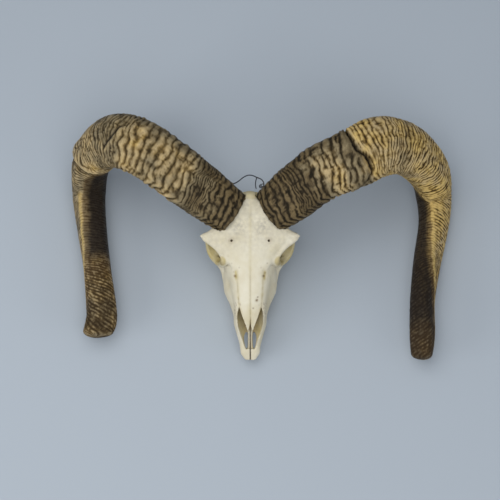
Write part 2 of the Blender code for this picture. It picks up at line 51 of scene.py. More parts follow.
# Sections of the muzzle: v, then the right half from the bridge of the nose to the palate.
MUZZLE = (
    (-28, ((0, -1), (22, -5), (36, -30), (36, -58), (31, -86), (13, -89), (0, -87))),
    (-46, ((0, -1), (21, -6), (34, -30), (37, -58), (33, -86), (14, -87), (0, -85))),
    (-62, ((0, -1), (20, -6), (30, -28), (38.5, -56), (32, -81), (14, -83), (0, -81))),
    (-74, ((0, -2.5), (19, -8), (28, -28), (37, -55), (30, -76), (13, -78), (0, -76))),
    (-89, ((0, -5), (18, -11), (24, -28), (29.5, -50), (25, -69), (12, -71), (0, -69))),
    (-104, ((0, -8), (18, -12.5), (23, -29), (24, -44), (21, -60), (10, -62), (0, -60))),
    (-118, ((0, -12), (16, -15.5), (22, -30), (22.6, -43), (18, -54), (9, -55), (0, -54))),
    (-134, ((0, -20), (12.5, -22), (18, -32), (18.6, -42), (15, -49), (8, -50), (0, -50))),
    (-148, ((0, -30), (9.5, -30), (13.6, -34), (14.6, -41), (12, -46), (6, -47), (0, -47))),
    (-160, ((0, -33), (7.5, -33), (12.5, -35.5), (13.6, -40), (11, -44), (6, -45), (0, -45))),
    (-169, ((0, -37), (3, -37), (6.5, -37.5), (7.5, -40), (6, -43), (3, -44), (0, -44))),
)
# Brow plate: v, half width and the height of its middle.
BROW = (
    (-64, 9, -5.5), (-52, 18, -3.2), (-43, 24, -1.6), (-34, 29, -0.4), (-24, 33, 0.5), (-15, 39, 1),
    (-7, 51, 1), (-1, 60, 1), (3, 67, 0.5), (6, 72, 0), (8.5, 69, 0), (14, 58, -1), (24, 44, -2),
    (36, 34, -3), (48, 24, -5), (58, 16, -7), (66, 12, -10),
)
BROW_DEPTH = 9
BROW_ROUND = 32
# Bars on the right side: u, v, w, radius and how much deeper than wide.
EYE_RING = (
    (37, -30, -15, 4.8, 1.2), (39.5, -20, -11, 4.0, 1.0), (49, -8.5, -8, 4.0, 1.0),
    (63, 3, -10, 4.6, 1.0), (62, 6, -23, 5.0, 1.3), (59, 3, -38, 5.0, 1.3),
    (57.5, -10, -51, 5.0, 1.3), (54, -20.5, -54, 4.8, 1.4), (47.5, -28, -51, 5.0, 1.4),
    (40, -31.5, -34, 5.2, 1.3),
)
BARS = (
    ((56, -16, -54, 4.0, 1.8), (58, 2, -62, 3.6, 1.7), (51, 20, -73, 3.4, 1.6),
     (46, 36, -79, 4.0, 1.4), (34, 47, -80, 8.0, 1.0)),
    ((45, -28, -52, 6.0, 1.6), (37, -42, -60, 5.5, 1.3), (33, -58, -65, 6.0, 1.0)),
    ((25, 52, -88, 7.0, 1.2), (26, 49, -106, 5.0, 1.2), (26, 43, -127, 2.6, 1.2)),
    ((15, 54, -90, 9.0, 1.0), (12, 58, -99, 7.0, 1.0)),
    ((16, -32, -88, 4.5, 1.6), (13, -18, -93, 2.6, 2.2), (11, 2, -93, 2.6, 2.0),
     (9, 14, -90, 4.0, 1.0)),
    ((22, -40, -80, 9.0, 1.0), (20, -18, -74, 8.0, 1.2), (17, 4, -78, 8.0, 1.0)),
    ((6, 64, -48, 6.0, 1.0), (24, 60, -56, 5.0, 1.2), (36, 48, -70, 5.0, 1.2),
     (34, 47, -86, 6.0, 1.0)),
)
BAR_ROUND = 16
# Rounded lumps: centre and half sizes, and for the middle ones their turn about u in degrees.
MIDDLE_LUMPS = (
    ((0, 32, -58), (35, 35, 36), 0),
    ((0, 44, -68), (32, 20, 28), 0),
    ((0, 2, -42), (25, 42, 38), 0),
    ((0, 20, -87), (15, 44, 8), 0),
    ((0, 54, -36), (16, 13, 30), -10),
    ((0, 61.5, -22), (13, 8.5, 15), 0),
)
SIDE_LUMPS = (
    ((36, 32, -82), (15, 10, 7)), ((18, 31, -96), (8, 12, 11)), ((29.5, -16, -14), (13, 18, 9)),
    ((28, 2, -28), (22, 20, 18)), ((47, -16, -57), (12, 15, 9)),
)
# Each horn's seat: the middle of its base, the way it grows, and the core of bone behind it.
HORN_BASES = {
    "left": ((-25.0, 36.5, -24.0), Vector((-0.81, 0.586, 0.0)).normalized()),
    "right": ((28.0, 38.5, -24.0), Vector((0.756, 0.654, 0.0)).normalized()),
}
SIDES = {"left": -1, "right": 1}
CORE_SIZES = (25, 29)
CORE_DEPTH = 46
BONE_VOXEL = 1.05


def on_face(u, v, w):
    """A point of the face in the row's metres."""
    return FACE @ (Vector((u, v, w)) * MM)


def smooth_line(knots, parts, closed=False):
    """Points along a smooth curve through the knots, with equal parts to each span."""
    knots = np.array(knots, float)
    ends = (2 * knots[:1] - knots[1:2], 2 * knots[-1:] - knots[-2:-1])
    if closed:
        ends = (knots[-1:], knots[:2])
    around = np.vstack((ends[0], knots, ends[1]))
    line = []
    for before, here, after, beyond in zip(around, around[1:], around[2:], around[3:]):
        for t in np.arange(parts) / parts:
            slope = (after - before) * t
            bend = (2 * before - 5 * here + 4 * after - beyond) * t**2
            twist = (3 * here - before - 3 * after + beyond) * t**3
            line.append(here + 0.5 * (slope + bend + twist))
    if not closed:
        line.append(knots[-1])
    return np.array(line)


def add_to(whole, lump):
    """Join a finished lump to the mass, facing outwards."""
    bmesh.ops.recalc_face_normals(lump, faces=lump.faces[:])
    carrier = bpy.data.meshes.new("lump")
    lump.to_mesh(carrier)
    lump.free()
    whole.from_mesh(carrier)
    bpy.data.meshes.remove(carrier)


def new_disc(corners):
    """A mesh with one flat face in it, and that face."""
    bm = bmesh.new()
    rim = bmesh.ops.create_circle(bm, cap_ends=True, segments=corners, radius=MM)["verts"]
    return bm, rim[0].link_faces[0]


def draw_out(whole, rings):
    """A disc extruded from ring to ring, which leaves a closed skin over them all."""
    lump, cap = new_disc(len(rings[0]))
    for index, ring in enumerate(rings):
        if index:
            grown = bmesh.ops.extrude_face_region(lump, geom=[cap, *cap.edges, *cap.verts])
            cap = next(item for item in grown["geom"] if isinstance(item, bmesh.types.BMFace))
        for vert, place in zip(cap.verts, ring):
            vert.co = on_face(*place)
    add_to(whole, lump)


def add_ball(whole, centre, sizes, turn=(0, 0, 0), fine=32):
    lump = bmesh.new()
    place = Matrix.LocRotScale(
        Vector(centre) * MM, Euler([radians(a) for a in turn]), Vector(sizes) * MM
    )
    bmesh.ops.create_uvsphere(
        lump, u_segments=fine, v_segments=fine // 2, radius=1.0, matrix=FACE @ place
    )
    add_to(whole, lump)


def add_bar(whole, stations, side, closed=False):
    """A bar of bone with rounded ends, an oval disc drawn along its stations."""
    line = smooth_line([(side * u, v, w, r, deep) for u, v, w, r, deep in stations], 5, closed)
    if closed:
        line = np.vstack((line, line[:1]))
    ends = (line[-2:-1], line[1:2]) if closed else (line[:1], line[-1:])
    padded = np.vstack((ends[0], line, ends[1]))
    across = None
    rings = []
    for before, here, after in zip(padded, line, padded[2:]):
        ahead = Vector(after[:3] - before[:3]).normalized()
        if across is None:
            across = ahead.cross(Vector((0, 0, 1)))
            if across.length < 0.3:
                across = Vector((1, 0, 0))
        across = (across - ahead * across.dot(ahead)).normalized()
        deep = across.cross(ahead)
        ring = []
        for step in range(BAR_ROUND):
            angle = 2 * pi * step / BAR_ROUND
            offset = across * cos(angle) + deep * (sin(angle) * here[4])
            ring.append(Vector(here[:3]) + offset * here[3])
        rings.append(ring)
    draw_out(whole, rings)
    if not closed:
        for end in (line[0], line[-1]):
            add_ball(whole, end[:3], [end[3]] * 3, fine=BAR_ROUND)


def muzzle_rings(sections):
    """Right halves of sections, made whole and smooth."""
    rings = []
    for v, half in sections:
        outline = list(half) + [(-u, w) for u, w in reversed(half[1:-1])]
        rings.append([(u, v, w) for u, w in smooth_line(outline, 4, closed=True)])
    return rings


def base_place(name):
    """The horn base as a place: Z the way the horn grows, X out of the face."""
    base, axis = HORN_BASES[name]
    front = Vector((0, 0, 1))
    turn = Matrix((front, axis.cross(front), axis)).transposed().to_4x4()
    return FACE @ Matrix.Translation(Vector(base) * MM) @ turn


def drum(sizes, depth, shift, place, corners=48):
    """An oval drum of that depth, its middle moved along its axis."""
    bm = bmesh.new()
    oval = Matrix.Diagonal((sizes[0] * MM, sizes[1] * MM, 1, 1))
    bmesh.ops.create_cone(
        bm, cap_ends=True, segments=corners, radius1=1, radius2=1, depth=depth * MM,
        matrix=place @ Matrix.Translation((0, 0, shift * MM)) @ oval,
    )
    return bm


def new_piece(name, bm):
    mesh = bpy.data.meshes.new(name)
    bm.to_mesh(mesh)
    bm.free()
    piece = bpy.data.objects.new(name, mesh)
    bpy.context.scene.collection.objects.link(piece)
    return piece


def settle(piece):
    """Make the piece's modifiers part of its mesh."""
    seen = piece.evaluated_get(bpy.context.evaluated_depsgraph_get())
    old = piece.data
    piece.data = bpy.data.meshes.new_from_object(seen)
    piece.modifiers.clear()
    bpy.data.meshes.remove(old)


def melt(piece, voxel, softness):
    """Blend everything in the piece into one skin, with its edges worn round."""
    skin = piece.modifiers.new("skin", "REMESH")
    skin.mode = "VOXEL"
    skin.voxel_size = voxel * MM
    soft = piece.modifiers.new("soft", "SMOOTH")
    soft.iterations = softness
    soft.factor = 0.6
    settle(piece)


def carve(piece, tool, operation="DIFFERENCE", keep_tool=False):
    cut = piece.modifiers.new("cut", "BOOLEAN")
    cut.operation = operation
    cut.solver = "MANIFOLD"
    cut.object = tool
    settle(piece)
    if not keep_tool:
        bpy.data.objects.remove(tool)


mass = bmesh.new()
draw_out(mass, muzzle_rings(MUZZLE))
turns = [2 * pi * step / BROW_ROUND for step in range(BROW_ROUND)]
draw_out(mass, [
    [(half * cos(a), v, top - BROW_DEPTH + BROW_DEPTH * sin(a)) for a in turns]
    for v, half, top in BROW
])
for centre, sizes, turn in MIDDLE_LUMPS:
    add_ball(mass, centre, sizes, (turn, 0, 0))
for side in SIDES.values():
    for (u, v, w), sizes in SIDE_LUMPS:
        add_ball(mass, (side * u, v, w), sizes)
    add_bar(mass, EYE_RING, side, closed=True)
    for stations in BARS:
        add_bar(mass, stations, side)
for name in SIDES:
    add_to(mass, drum(CORE_SIZES, CORE_DEPTH, -0.3 * CORE_DEPTH, base_place(name)))
skull = new_piece("skull_mass", mass)
melt(skull, BONE_VOXEL, 7)

# ---- Openings in the bone ---------------------------------------------------------------
# The eye sockets, the throat, the hole for the spinal cord, a small nerve hole in each cheek,
# and the flat round seats that the horn sheaths are pushed up against.

ORBIT = ((53, -17, -31), (26, 16.5, 18), -38)
THROAT = ((0, -20, -98), (9, 24, 11))
CORD_HOLE = ((0, 66, -82), (9.5, 22, 8.5))
CHEEK_NERVE = ((24, -92, -52), 2.6)
NERVE_DEPTH = 16
SEAT_SIZES = (34, 35.5)
SEAT_DEPTH = 60
SEAT_GAP = 0.3


def ball_tool(centre, sizes, turn=0.0):
    bm = bmesh.new()
    add_ball(bm, centre, sizes, (0, 0, turn))
    return new_piece("ball_tool", bm)


def drill(centre, radius, along):
    place = Matrix.LocRotScale(Vector(centre) * MM, Vector(along).to_track_quat("Z", "Y"), None)
    return new_piece("drill", drum((radius, radius), NERVE_DEPTH, 0, FACE @ place, corners=20))


for side in SIDES.values():
    (u, v, w), sizes, turn = ORBIT
    carve(skull, ball_tool((side * u, v, w), sizes, side * turn))
    (u, v, w), radius = CHEEK_NERVE
    carve(skull, drill((side * u, v, w), radius, (1, -side, 0)))
carve(skull, ball_tool(*THROAT))
carve(skull, ball_tool(*CORD_HOLE))
for name in SIDES:
    seat = drum(SEAT_SIZES, SEAT_DEPTH, 0.5 * SEAT_DEPTH - SEAT_GAP, base_place(name))
    carve(skull, new_piece("seat", seat))

# ---- Bone finish ------------------------------------------------------------------------
# Dry bone bleached cream white, chalky, with fine pores. It stays yellow where fat held on
# longest: in the eye sockets, in the nose and on the poll. Dirt sits in seams and pits, and
# shade is painted darker into hollows and deep openings.

BONE_PALE = (0.700, 0.662, 0.540)
BONE_CREAM = (0.610, 0.558, 0.420)
BONE_FAT = (0.480, 0.400, 0.185)
BONE_GREY = (0.330, 0.310, 0.270)
BONE_DIRT_AND_SHADE = (0.140, 0.080, 0.028)
# Stains and painted shade, one over the other: the number that carries it, its colour, and
# how a cloud breaks it.
BONE_STAINS = (
    ("fat", BONE_FAT, 60, 4, 0.25, 0.6, 0.55, 1.0),
    ("grey", BONE_GREY, 210, 3, 0.35, 0.7, 0.0, 1.0),
    ("dirt", BONE_DIRT_AND_SHADE, 330, 2, 0.2, 0.6, 0.35, 1.0),
)


class Mixer:
    """A material's node tree, with a short call for each kind of step."""

    def __init__(self, name):
        self.material = bpy.data.materials.new(name)
        self.material.use_nodes = True
        self.tree = self.material.node_tree
        self.shader = self.tree.nodes["Principled BSDF"]
        self.place = self.add("ShaderNodeTexCoord").outputs["Object"]

    def add(self, kind, inputs=None, **settings):
        node = self.tree.nodes.new(kind)
        for key, value in settings.items():
            setattr(node, key, value)
        for key, value in (inputs or {}).items():
            self.put(value, node.inputs[key])
        return node

    def put(self, value, socket):
        if isinstance(value, bpy.types.NodeSocket):
            self.tree.links.new(value, socket)
        else:
            socket.default_value = (*value, 1) if socket.type == "RGBA" else value

    def layer(self, name):
        """A number that the mesh carries at each point."""
        return self.add("ShaderNodeAttribute", attribute_name=name).outputs["Fac"]

    def stretched(self, source, scale):
        return self.add("ShaderNodeMapping", {"Vector": source, "Scale": scale}).outputs["Vector"]

    def cloud(self, scale, detail=3.0, rough=0.5, source=None):
        inputs = {"Vector": source or self.place, "Scale": scale, "Detail": detail, "Roughness": rough}
        return self.add("ShaderNodeTexNoise", inputs).outputs["Fac"]

    def pores(self, scale):
        cells = self.add("ShaderNodeTexVoronoi", {"Vector": self.place, "Scale": scale})
        return cells.outputs["Distance"]

    def spread(self, value, low, high, out_low=0.0, out_high=1.0):
        """Low to high drawn out, or turned round, to other limits."""
        limits = {"From Min": low, "From Max": high, "To Min": out_low, "To Max": out_high}
        return self.add("ShaderNodeMapRange", {"Value": value, **limits}).outputs["Result"]

    def reckon(self, operation, first, second):
        node = self.add("ShaderNodeMath", operation=operation)
        self.put(first, node.inputs[0])
        self.put(second, node.inputs[1])
        return node.outputs[0]

    def times(self, first, second):
        return self.reckon("MULTIPLY", first, second)

    def plus(self, first, second):
        return self.reckon("ADD", first, second)

    def blend(self, amount, first, second):
        inputs = {"Factor": amount, "A": first, "B": second}
        return self.add("ShaderNodeMix", inputs, data_type="RGBA").outputs["Result"]

    def ramp(self, value, *stops):
        node = self.add("ShaderNodeValToRGB", {"Fac": value})
        steps = node.color_ramp.elements
        while len(steps) < len(stops):
            steps.new(0.5)
        for step, (place, colour) in zip(steps, stops):
            step.position = place
            step.color = (*colour, 1)
        return node.outputs["Color"]

    def relief(self, height, depth):
        bump = self.add("ShaderNodeBump", {"Height": height, "Distance": depth * MM, "Strength": 1.0})
        self.put(bump.outputs["Normal"], self.shader.inputs["Normal"])

    def finish(self, colour, roughness, specular=0.5):
        self.put(colour, self.shader.inputs["Base Color"])
        self.put(roughness, self.shader.inputs["Roughness"])
        self.put(specular, self.shader.inputs["Specular IOR Level"])
        return self.material


def make_bone_finish():
    mix = Mixer("bleached_bone")
    patches = mix.spread(mix.cloud(26, 4), 0.35, 0.68)
    colour = mix.blend(patches, BONE_PALE, BONE_CREAM)
    for name, tone, scale, detail, *limits in BONE_STAINS:
        amount = mix.times(mix.layer(name), mix.spread(mix.cloud(scale, detail), *limits))
        colour = mix.blend(amount, colour, tone)
    specks = mix.spread(mix.pores(420), 0.10, 0.02)
    specks = mix.times(specks, mix.spread(mix.cloud(45, 2), 0.52, 0.66, 0.0, 0.5))
    colour = mix.blend(specks, colour, BONE_FAT)
    grain = mix.plus(mix.cloud(900, 3, 0.6), mix.spread(mix.pores(650), 0.0, 0.25, 0.0, 0.6))
    grain = mix.plus(grain, mix.times(mix.cloud(120, 3), 2.0))
    mix.relief(grain, 0.10)
    rough = mix.spread(mix.cloud(70, 3), 0.3, 0.7, 0.5, 0.66)
    return mix.finish(colour, rough, 0.4)


bone_finish = make_bone_finish()

# ---- Weathering of the bone -------------------------------------------------------------
# Every bone gets its low swells, its dents and its pits, and carries three numbers at each
# point for the finish: fat left in the bone, brown dirt with painted shade in its hollows and
# openings, and grey by the horns with painted shade in a dent by each socket. Down the
# muzzle, places are given by how far they lie in front of the middle of the brow.

# Dents and swells on the right side, repeated on the left: u, v, w, reach and depth.
DENTS = (
    (25, -9, 1, 5.5, 0.7), (23, -20, 0, 6.5, 0.6),
    (39.5, -20.5, -2, 3.2, 2.4), (21.5, -50, -5, 3.4, 1.3), (20.5, -43, -4, 2.8, 0.8),
    (13, 20, -1, 13, 0.7), (47, -3, 0, 8, 1.0), (33, -60, -30, 11, 1.2),
    (31, -50, -42, 9, -0.9), (24, -78, -30, 9, 0.8), (21, -104, -35, 6, 0.5),
)
# Low swells all over: height, width and seed.
SWELLS = ((0.30, 13), (0.14, 4.5, 7), (0.07, 2.0, 3))
# The ridge down the forehead: half width, height, and where it starts and ends.
MIDDLE_RIDGE = (1.5, 0.35, (-20, 58))
RIDGE_FADE = 15
LOWEST = 0.0002
# Single pits and brown spots: u, v, w, reach, depth and how brown.
PITS = (
    (9.4, -84, -4, 1.7, 0.9, 1.0), (10.6, -79.5, -4, 1.1, 0.4, 0.8), (4.2, -95, -6, 1.1, 0.3, 0.7),
    (-21.6, -49.8, -6, 1.8, 0.7, 0.85), (-23, -44, -5, 1.2, 0.3, 0.5), (18.8, -49.8, -6, 1.6, 0.6, 0.8),
    (21, -45.5, -6, 1.2, 0.4, 0.6), (-15.5, -38, -1, 1.0, 0.2, 0.35), (15.2, -38, -1, 1.0, 0.2, 0.3),
    (-26, -32, -2, 0.9, 0.2, 0.5), (24, -32, -2, 0.9, 0.2, 0.55), (-31, -22, -1, 1.0, 0.3, 0.3),
)
POLL_PATCH = 57.0
# The socket's lower inner corner, yellow like the socket and painted darker as shade under
# the brow: middle, half sizes and turn.
SOCKET_CORNER = ((40.0, -28.5, -16), (4.6, 5.4, 13), -12)
PIT_UPRIGHT = 0.25


def cloud_at(points, size, seed=0.0):
    """Soft noise, from -1 to 1, with swells about as wide as that size in millimetres."""
    places = (points / size + seed).tolist()
    return np.array([noise.noise(place) for place in places])


def step_up(value, low, high):
    """Rise smoothly from 0 at low to 1 at high."""
    t = np.clip((value - low) / (high - low), 0, 1)
    return t * t * (3 - 2 * t)


def read_off(table, places):
    """A table of places and values, read at other places."""
    return np.interp(places, *np.array(table, float).T)


def hump(value, width):
    """1 where a value is nothing, falling away on both sides."""
    return np.exp(-((value / width) ** 2))


def read_all(items, key, width, kind=float):
    """One property of all of a mesh's points, edges or corners, a row to each."""
    values = np.empty(len(items) * width, kind)
    items.foreach_get(key, values)
    return values.reshape(-1, width)


def read_points(piece):
    """The points in the row frame, the same on the face in millimetres, and their normals."""
    points = read_all(piece.data.vertices, "co", 3)
    normals = read_all(piece.data.vertex_normals, "vector", 3)
    return points, (points @ FACE_BACK[:3, :3].T + FACE_BACK[:3, 3]) / MM, normals


def carry(piece, **layers):
    """Give the mesh numbers from 0 to 1 at each point for its finish to read."""
    for name, values in layers.items():
        layer = piece.data.attributes.new(name, "FLOAT", "POINT")
        layer.data.foreach_set("value", np.clip(values, 0, 1).astype(np.float32))


def move_points(piece, points):
    """Put the mesh's points there, none of them under the floor."""
    points[:, 2] = np.maximum(points[:, 2], LOWEST)
    piece.data.vertices.foreach_set("co", points.ravel())
    piece.data.update()


def near(face, u, v, w, reach, upright=1.0):
    """1 at a point of the face, falling to nothing a little past its reach."""
    gap = np.linalg.norm((face - (u, v, w)) * (1, 1, upright), axis=1)
    return hump(gap, reach)


def shape_bone(piece):
    """The small forms of the bone: swells, dents, pits and a low ridge down the middle."""
    points, face, normals = read_points(piece)
    rise = sum(height * cloud_at(face, *size_seed) for height, *size_seed in SWELLS)
    for u, v, w, reach, depth in DENTS:
        for side in SIDES.values():
            rise -= depth * near(face, side * u, v, w, reach)
    for u, v, w, reach, depth, _ in PITS:
        rise -= depth * near(face, u, v, w, reach, PIT_UPRIGHT)
    width, height, (low, high) = MIDDLE_RIDGE
    along = step_up(face[:, 1], low, low + RIDGE_FADE) * step_up(-face[:, 1], -high, RIDGE_FADE - high)
    rise += height * along * hump(face[:, 0], width) * (face[:, 2] > -12)
    move_points(piece, points + normals * (rise * MM)[:, None])


def hollows(piece, rounds=10):
    """How far each point lies inside the smoothed surface, in millimetres."""
    points, _, normals = read_points(piece)
    first, second = read_all(piece.data.edges, "vertices", 2, np.int64).T
    count = np.bincount(np.concatenate((first, second)), minlength=len(points))
    smooth = points.copy()
    for _ in range(rounds):
        total = np.zeros_like(smooth)
        for axis in range(3):
            total[:, axis] += np.bincount(first, smooth[second, axis], len(points))
            total[:, axis] += np.bincount(second, smooth[first, axis], len(points))
        smooth = total / np.maximum(count, 1)[:, None]
    return ((smooth - points) * normals).sum(1) / MM


def in_ball(face, side, centre, sizes, turn):
    """How deep the points lie in an oval space on that side: 1 at its middle, 0 at its wall."""
    c, s = cos(radians(side * turn)), sin(radians(side * turn))
    offset = face - (side * centre[0], *centre[1:])
    local = np.column_stack((
        offset[:, 0] * c + offset[:, 1] * s, offset[:, 1] * c - offset[:, 0] * s, offset[:, 2],
    ))
    return 1 - np.sqrt(((local / sizes) ** 2).sum(1))


# Half the width of the nose opening and the height of its rim, down the muzzle.
NOSE_HALF = ((93, 16), (104, 17.9), (118, 17.4), (132, 13.8), (144, 10), (152, 6.6), (157, 2.5))
NOSE_RIM = ((90, -7), (104, -13), (118, -16), (134, -24), (148, -32), (160, -35))
# Half the width of the two nasal bones together, whose outer seams are yellow and dirty.
NASAL_SEAM = ((44, 18.2), (60, 17.9), (78, 16.8), (92, 15.6), (104, 11.8))
STREAK_AT = 20.3


def stained_fat(face, normals, behind, inside, wide_of_seam):
    """Fat in the sockets, the nose, the poll, the seams and the lower bones."""
    u, v, w = face.T
    fat = 0.10 + 0.12 * step_up(behind, 60, 120) * step_up(v, -165, -140)
    fat += 0.16 * cloud_at(face, 19, 4) + 0.12 * cloud_at(face, 6, 9)
    fat += 0.75 * step_up(np.abs(u), 42, 50) * step_up(-w, 14, 24) * step_up(behind, -12, 0)
    fat += 0.80 * step_up(v + 0.05 * u, POLL_PATCH, POLL_PATCH + 2.5) * step_up(-np.abs(u), -15, -11)
    fat += 0.70 * inside
    fat += 0.35 * step_up(-normals[:, 2], 0.0, 0.7) + 0.25 * step_up(-w, 50, 90)
    streak = step_up(behind, 40, 45) * step_up(v, -58, -50) * step_up(w, -16, -10)
    wander = STREAK_AT + 0.8 * cloud_at(face, 6, 2)
    for side in SIDES.values():
        fat += 0.95 * step_up(in_ball(face, side, *ORBIT), -0.32, -0.06)
        fat += 0.8 * step_up(in_ball(face, side, *SOCKET_CORNER), -0.6, -0.1)
        fat += 1.1 * streak * hump(side * u - wander, 1.5)
    beside = step_up(behind, 34, 50) * step_up(v, -106, -98) * step_up(w, -22, -16)
    fat += 0.55 * beside * (0.7 + 0.6 * cloud_at(face, 5, 12)) * hump(wide_of_seam, 2.0)
    return fat + 0.28 * step_up(w, -24, -18) * step_up(behind, -60, -40) * hump(u, 2.4)


def brown_dirt_and_shade(piece, face, behind, inside, below_rim, wide_of_seam):
    """Dirt in pits and seams and on bone eaten thin; painted shade in hollows, nose, slit, sockets and
    holes.
    """
    u, v, w = face.T
    seam = step_up(behind, 46, 60) * step_up(v, -106, -100) * step_up(w, -22, -16)
    middle = step_up(behind, 30, 60) * step_up(w, -24, -18)
    eaten = step_up(behind, 84, 90) * step_up(v, -112, -104) * step_up(np.abs(u), 11, 14)
    dirt = [
        0.45 * seam * (0.55 + 0.6 * cloud_at(face, 7, 5)) * hump(wide_of_seam, 0.9),
        0.32 * middle * hump(u, 0.8),
        0.55 * eaten * step_up(w, -30, -24) * step_up(cloud_at(face, 2.6, 6), 0.1, 0.45),
        # Painted shade: the nose darkens the deeper it lies below its rim, most in the middle.
        inside * step_up(below_rim, 8, 22) * (0.30 + 0.45 * step_up(-np.abs(u), -11, -4)),
        # Painted shade down the narrow slit between the two tips of the muzzle.
        0.8 * step_up(1.3 - np.abs(u), 0, 0.7) * step_up(behind, 100, 118),
        # Painted shade in the hollows of the surface, darker the deeper they sink.
        0.45 * step_up(hollows(piece), 0.25, 0.9),
    ]
    for pu, pv, pw, reach, _, brown in PITS:
        dirt.append(1.4 * brown * near(face, pu, pv, pw, reach, PIT_UPRIGHT))
    for side in SIDES.values():
        corner = in_ball(face, side, *SOCKET_CORNER)
        # Painted shade in the lower inner corner of each socket and deep inside it.
        dirt.append(0.42 * step_up(corner, -0.5, 0.1) * step_up(-w, 6, 13))
        dirt.append(0.34 * near(face, side * 38, -31, -36, 12))
        # Painted shade inside the nerve hole in each brow.
        dirt.append(1.3 * near(face, side * 26.2, 0, -5, 4.5))
    return np.max(dirt, axis=0)


def grey_and_dent_shade(face):
    """Grey round each horn base, on the poll and on the forehead, and painted shade in a dent by each
    socket.
    """
    w = face[:, 2]
    grey = [0.6 * near(face, -5, 50, -5, 5.0), 0.25 * step_up(face[:, 1], -30, 0) * step_up(w, -20, -8)]
    for base, axis in HORN_BASES.values():
        offset = face - base
        along = offset @ np.array(axis)
        out = np.linalg.norm(offset - along[:, None] * axis, axis=1)
        grey.append(0.75 * step_up(along, -8, -1) * step_up(-out, -39, -35) * step_up(w, -34, -20))
    for side in SIDES.values():
        grey.append(0.75 * near(face, side * 17, 20, -2, 15, 0.3))
        # Painted shade in the dent by each socket.
        grey.append(0.5 * near(face, side * 39.5, -20.5, -4, 3.2, 0.5))
    return np.max(grey, axis=0)


def fasten(piece, material, slot, *nodes, sharp=None):
    """Give a piece its finish, fix it to the skull and let it stand for its solids."""
    piece.data.materials.clear()
    piece.data.materials.append(material)
    piece.data.shade_smooth()
    if sharp:
        piece.data.set_sharp_from_angle(angle=radians(sharp))
    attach(piece, "root")
    if nodes:
        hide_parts(*nodes)


def finish_bone(piece, *nodes):
    """Stain a bone with fat, dirt, grey and painted shade, and put it in place."""
    _, face, normals = read_points(piece)
    u, v, w = face.T
    behind = -v
    below_rim = read_off(NOSE_RIM, behind) - w
    within = read_off(NOSE_HALF, behind) - np.abs(u)
    inside = step_up(behind, 88, 100) * step_up(below_rim, 2.5, 9) * step_up(within, -1.5, 1.5)
    inside = inside * (1 - step_up(behind, 122, 129) * step_up(3.4 - np.abs(u), -0.4, 0.4))
    wide_of_seam = np.abs(u) - read_off(NASAL_SEAM, behind)
    carry(
        piece, grey=grey_and_dent_shade(face),
        fat=stained_fat(face, normals, behind, inside, wide_of_seam),
        dirt=brown_dirt_and_shade(piece, face, behind, inside, below_rim, wide_of_seam),
    )
    fasten(piece, bone_finish, "bone", *nodes, sharp=55)


# ---- Nasal bones ------------------------------------------------------------------------
# Two long narrow plates that roof the nose. They meet in a thin brown seam down the middle
# and run out into two free points over the opening.

NASAL_EDGE = (
    (-26, 3.0), (-33, 12.5), (-44, 18.2), (-60, 17.9), (-78, 16.8), (-92, 15.6),
    (-104, 11.8), (-115, 7.8), (-121, 5.6), (-125, 4.2), (-127, 3.4),
)
# The inner edge of each bone: v, and how far it stands off the middle.
NASAL_MIDDLE = (
    (-26, 0.03), (-60, 0.04), (-100, 0.06), (-112, 0.2), (-118, 0.8), (-123, 1.9), (-127, 3.3),
)
NASAL_WAVER = 0.5
NASAL_LOW, NASAL_TOP = -20, 20
NOSE_SPACE = (
    (-84, ((0, -16), (7, -17), (9, -28), (8, -38), (4, -43), (0, -44))),
    (-92, ((0, -9), (13, -13), (16.5, -24), (14, -36), (7, -44), (0, -45))),
    (-106, ((0, -11.5), (15, -15), (17.8, -22), (14.5, -33), (8, -42), (0, -43))),
    (-118, ((0, -15.5), (14, -18), (17.2, -24), (13.5, -33), (7.5, -40), (0, -41))),
    (-130, ((0, -18), (11.5, -20), (14.2, -26), (11.5, -34), (7.5, -38.5), (0, -39))),
    (-142, ((0, -20), (8.5, -24), (10.6, -30), (9, -36), (6, -39), (0, -39.5))),
    (-153, ((0, -24), (5.5, -28), (6.5, -33), (5.5, -37), (4, -39), (0, -39.5))),
)
NASAL_GAP = 0.03


def raise_faces(bm, faces, by, keep=False):
    """Draw faces out into a closed block."""
    grown = bmesh.ops.extrude_face_region(bm, geom=faces, use_keep_orig=keep)
    verts = [item for item in grown["geom"] if isinstance(item, bmesh.types.BMVert)]
    bmesh.ops.translate(bm, verts=verts, vec=by)
    bmesh.ops.recalc_face_normals(bm, faces=bm.faces[:])


def plate_tool(outline, low, high):
    """An outline on the face raised between two heights."""
    bm, sheet = new_disc(len(outline))
    for vert, (u, v) in zip(sheet.verts, outline):
        vert.co = on_face(u, v, low)
    raise_faces(bm, [sheet], on_face(0, 0, high) - on_face(0, 0, low))
    return new_piece("plate_tool", bm)


def whole_outline(edge, grow, waver):
    """Both sides of an outline given as v and half width, a little uneven."""
    line = smooth_line(edge, 6)
    right = [(half + grow + waver * noise.noise((v * 0.35, 0, 0)), v) for v, half in line]
    left = [(-half - grow - waver * noise.noise((v * 0.35, 9, 0)), v) for v, half in line]
    return right + left[::-1]


def copy_piece(source, name):
    piece = source.copy()
    piece.data = source.data.copy()
    piece.name = name
    bpy.context.scene.collection.objects.link(piece)
    return piece


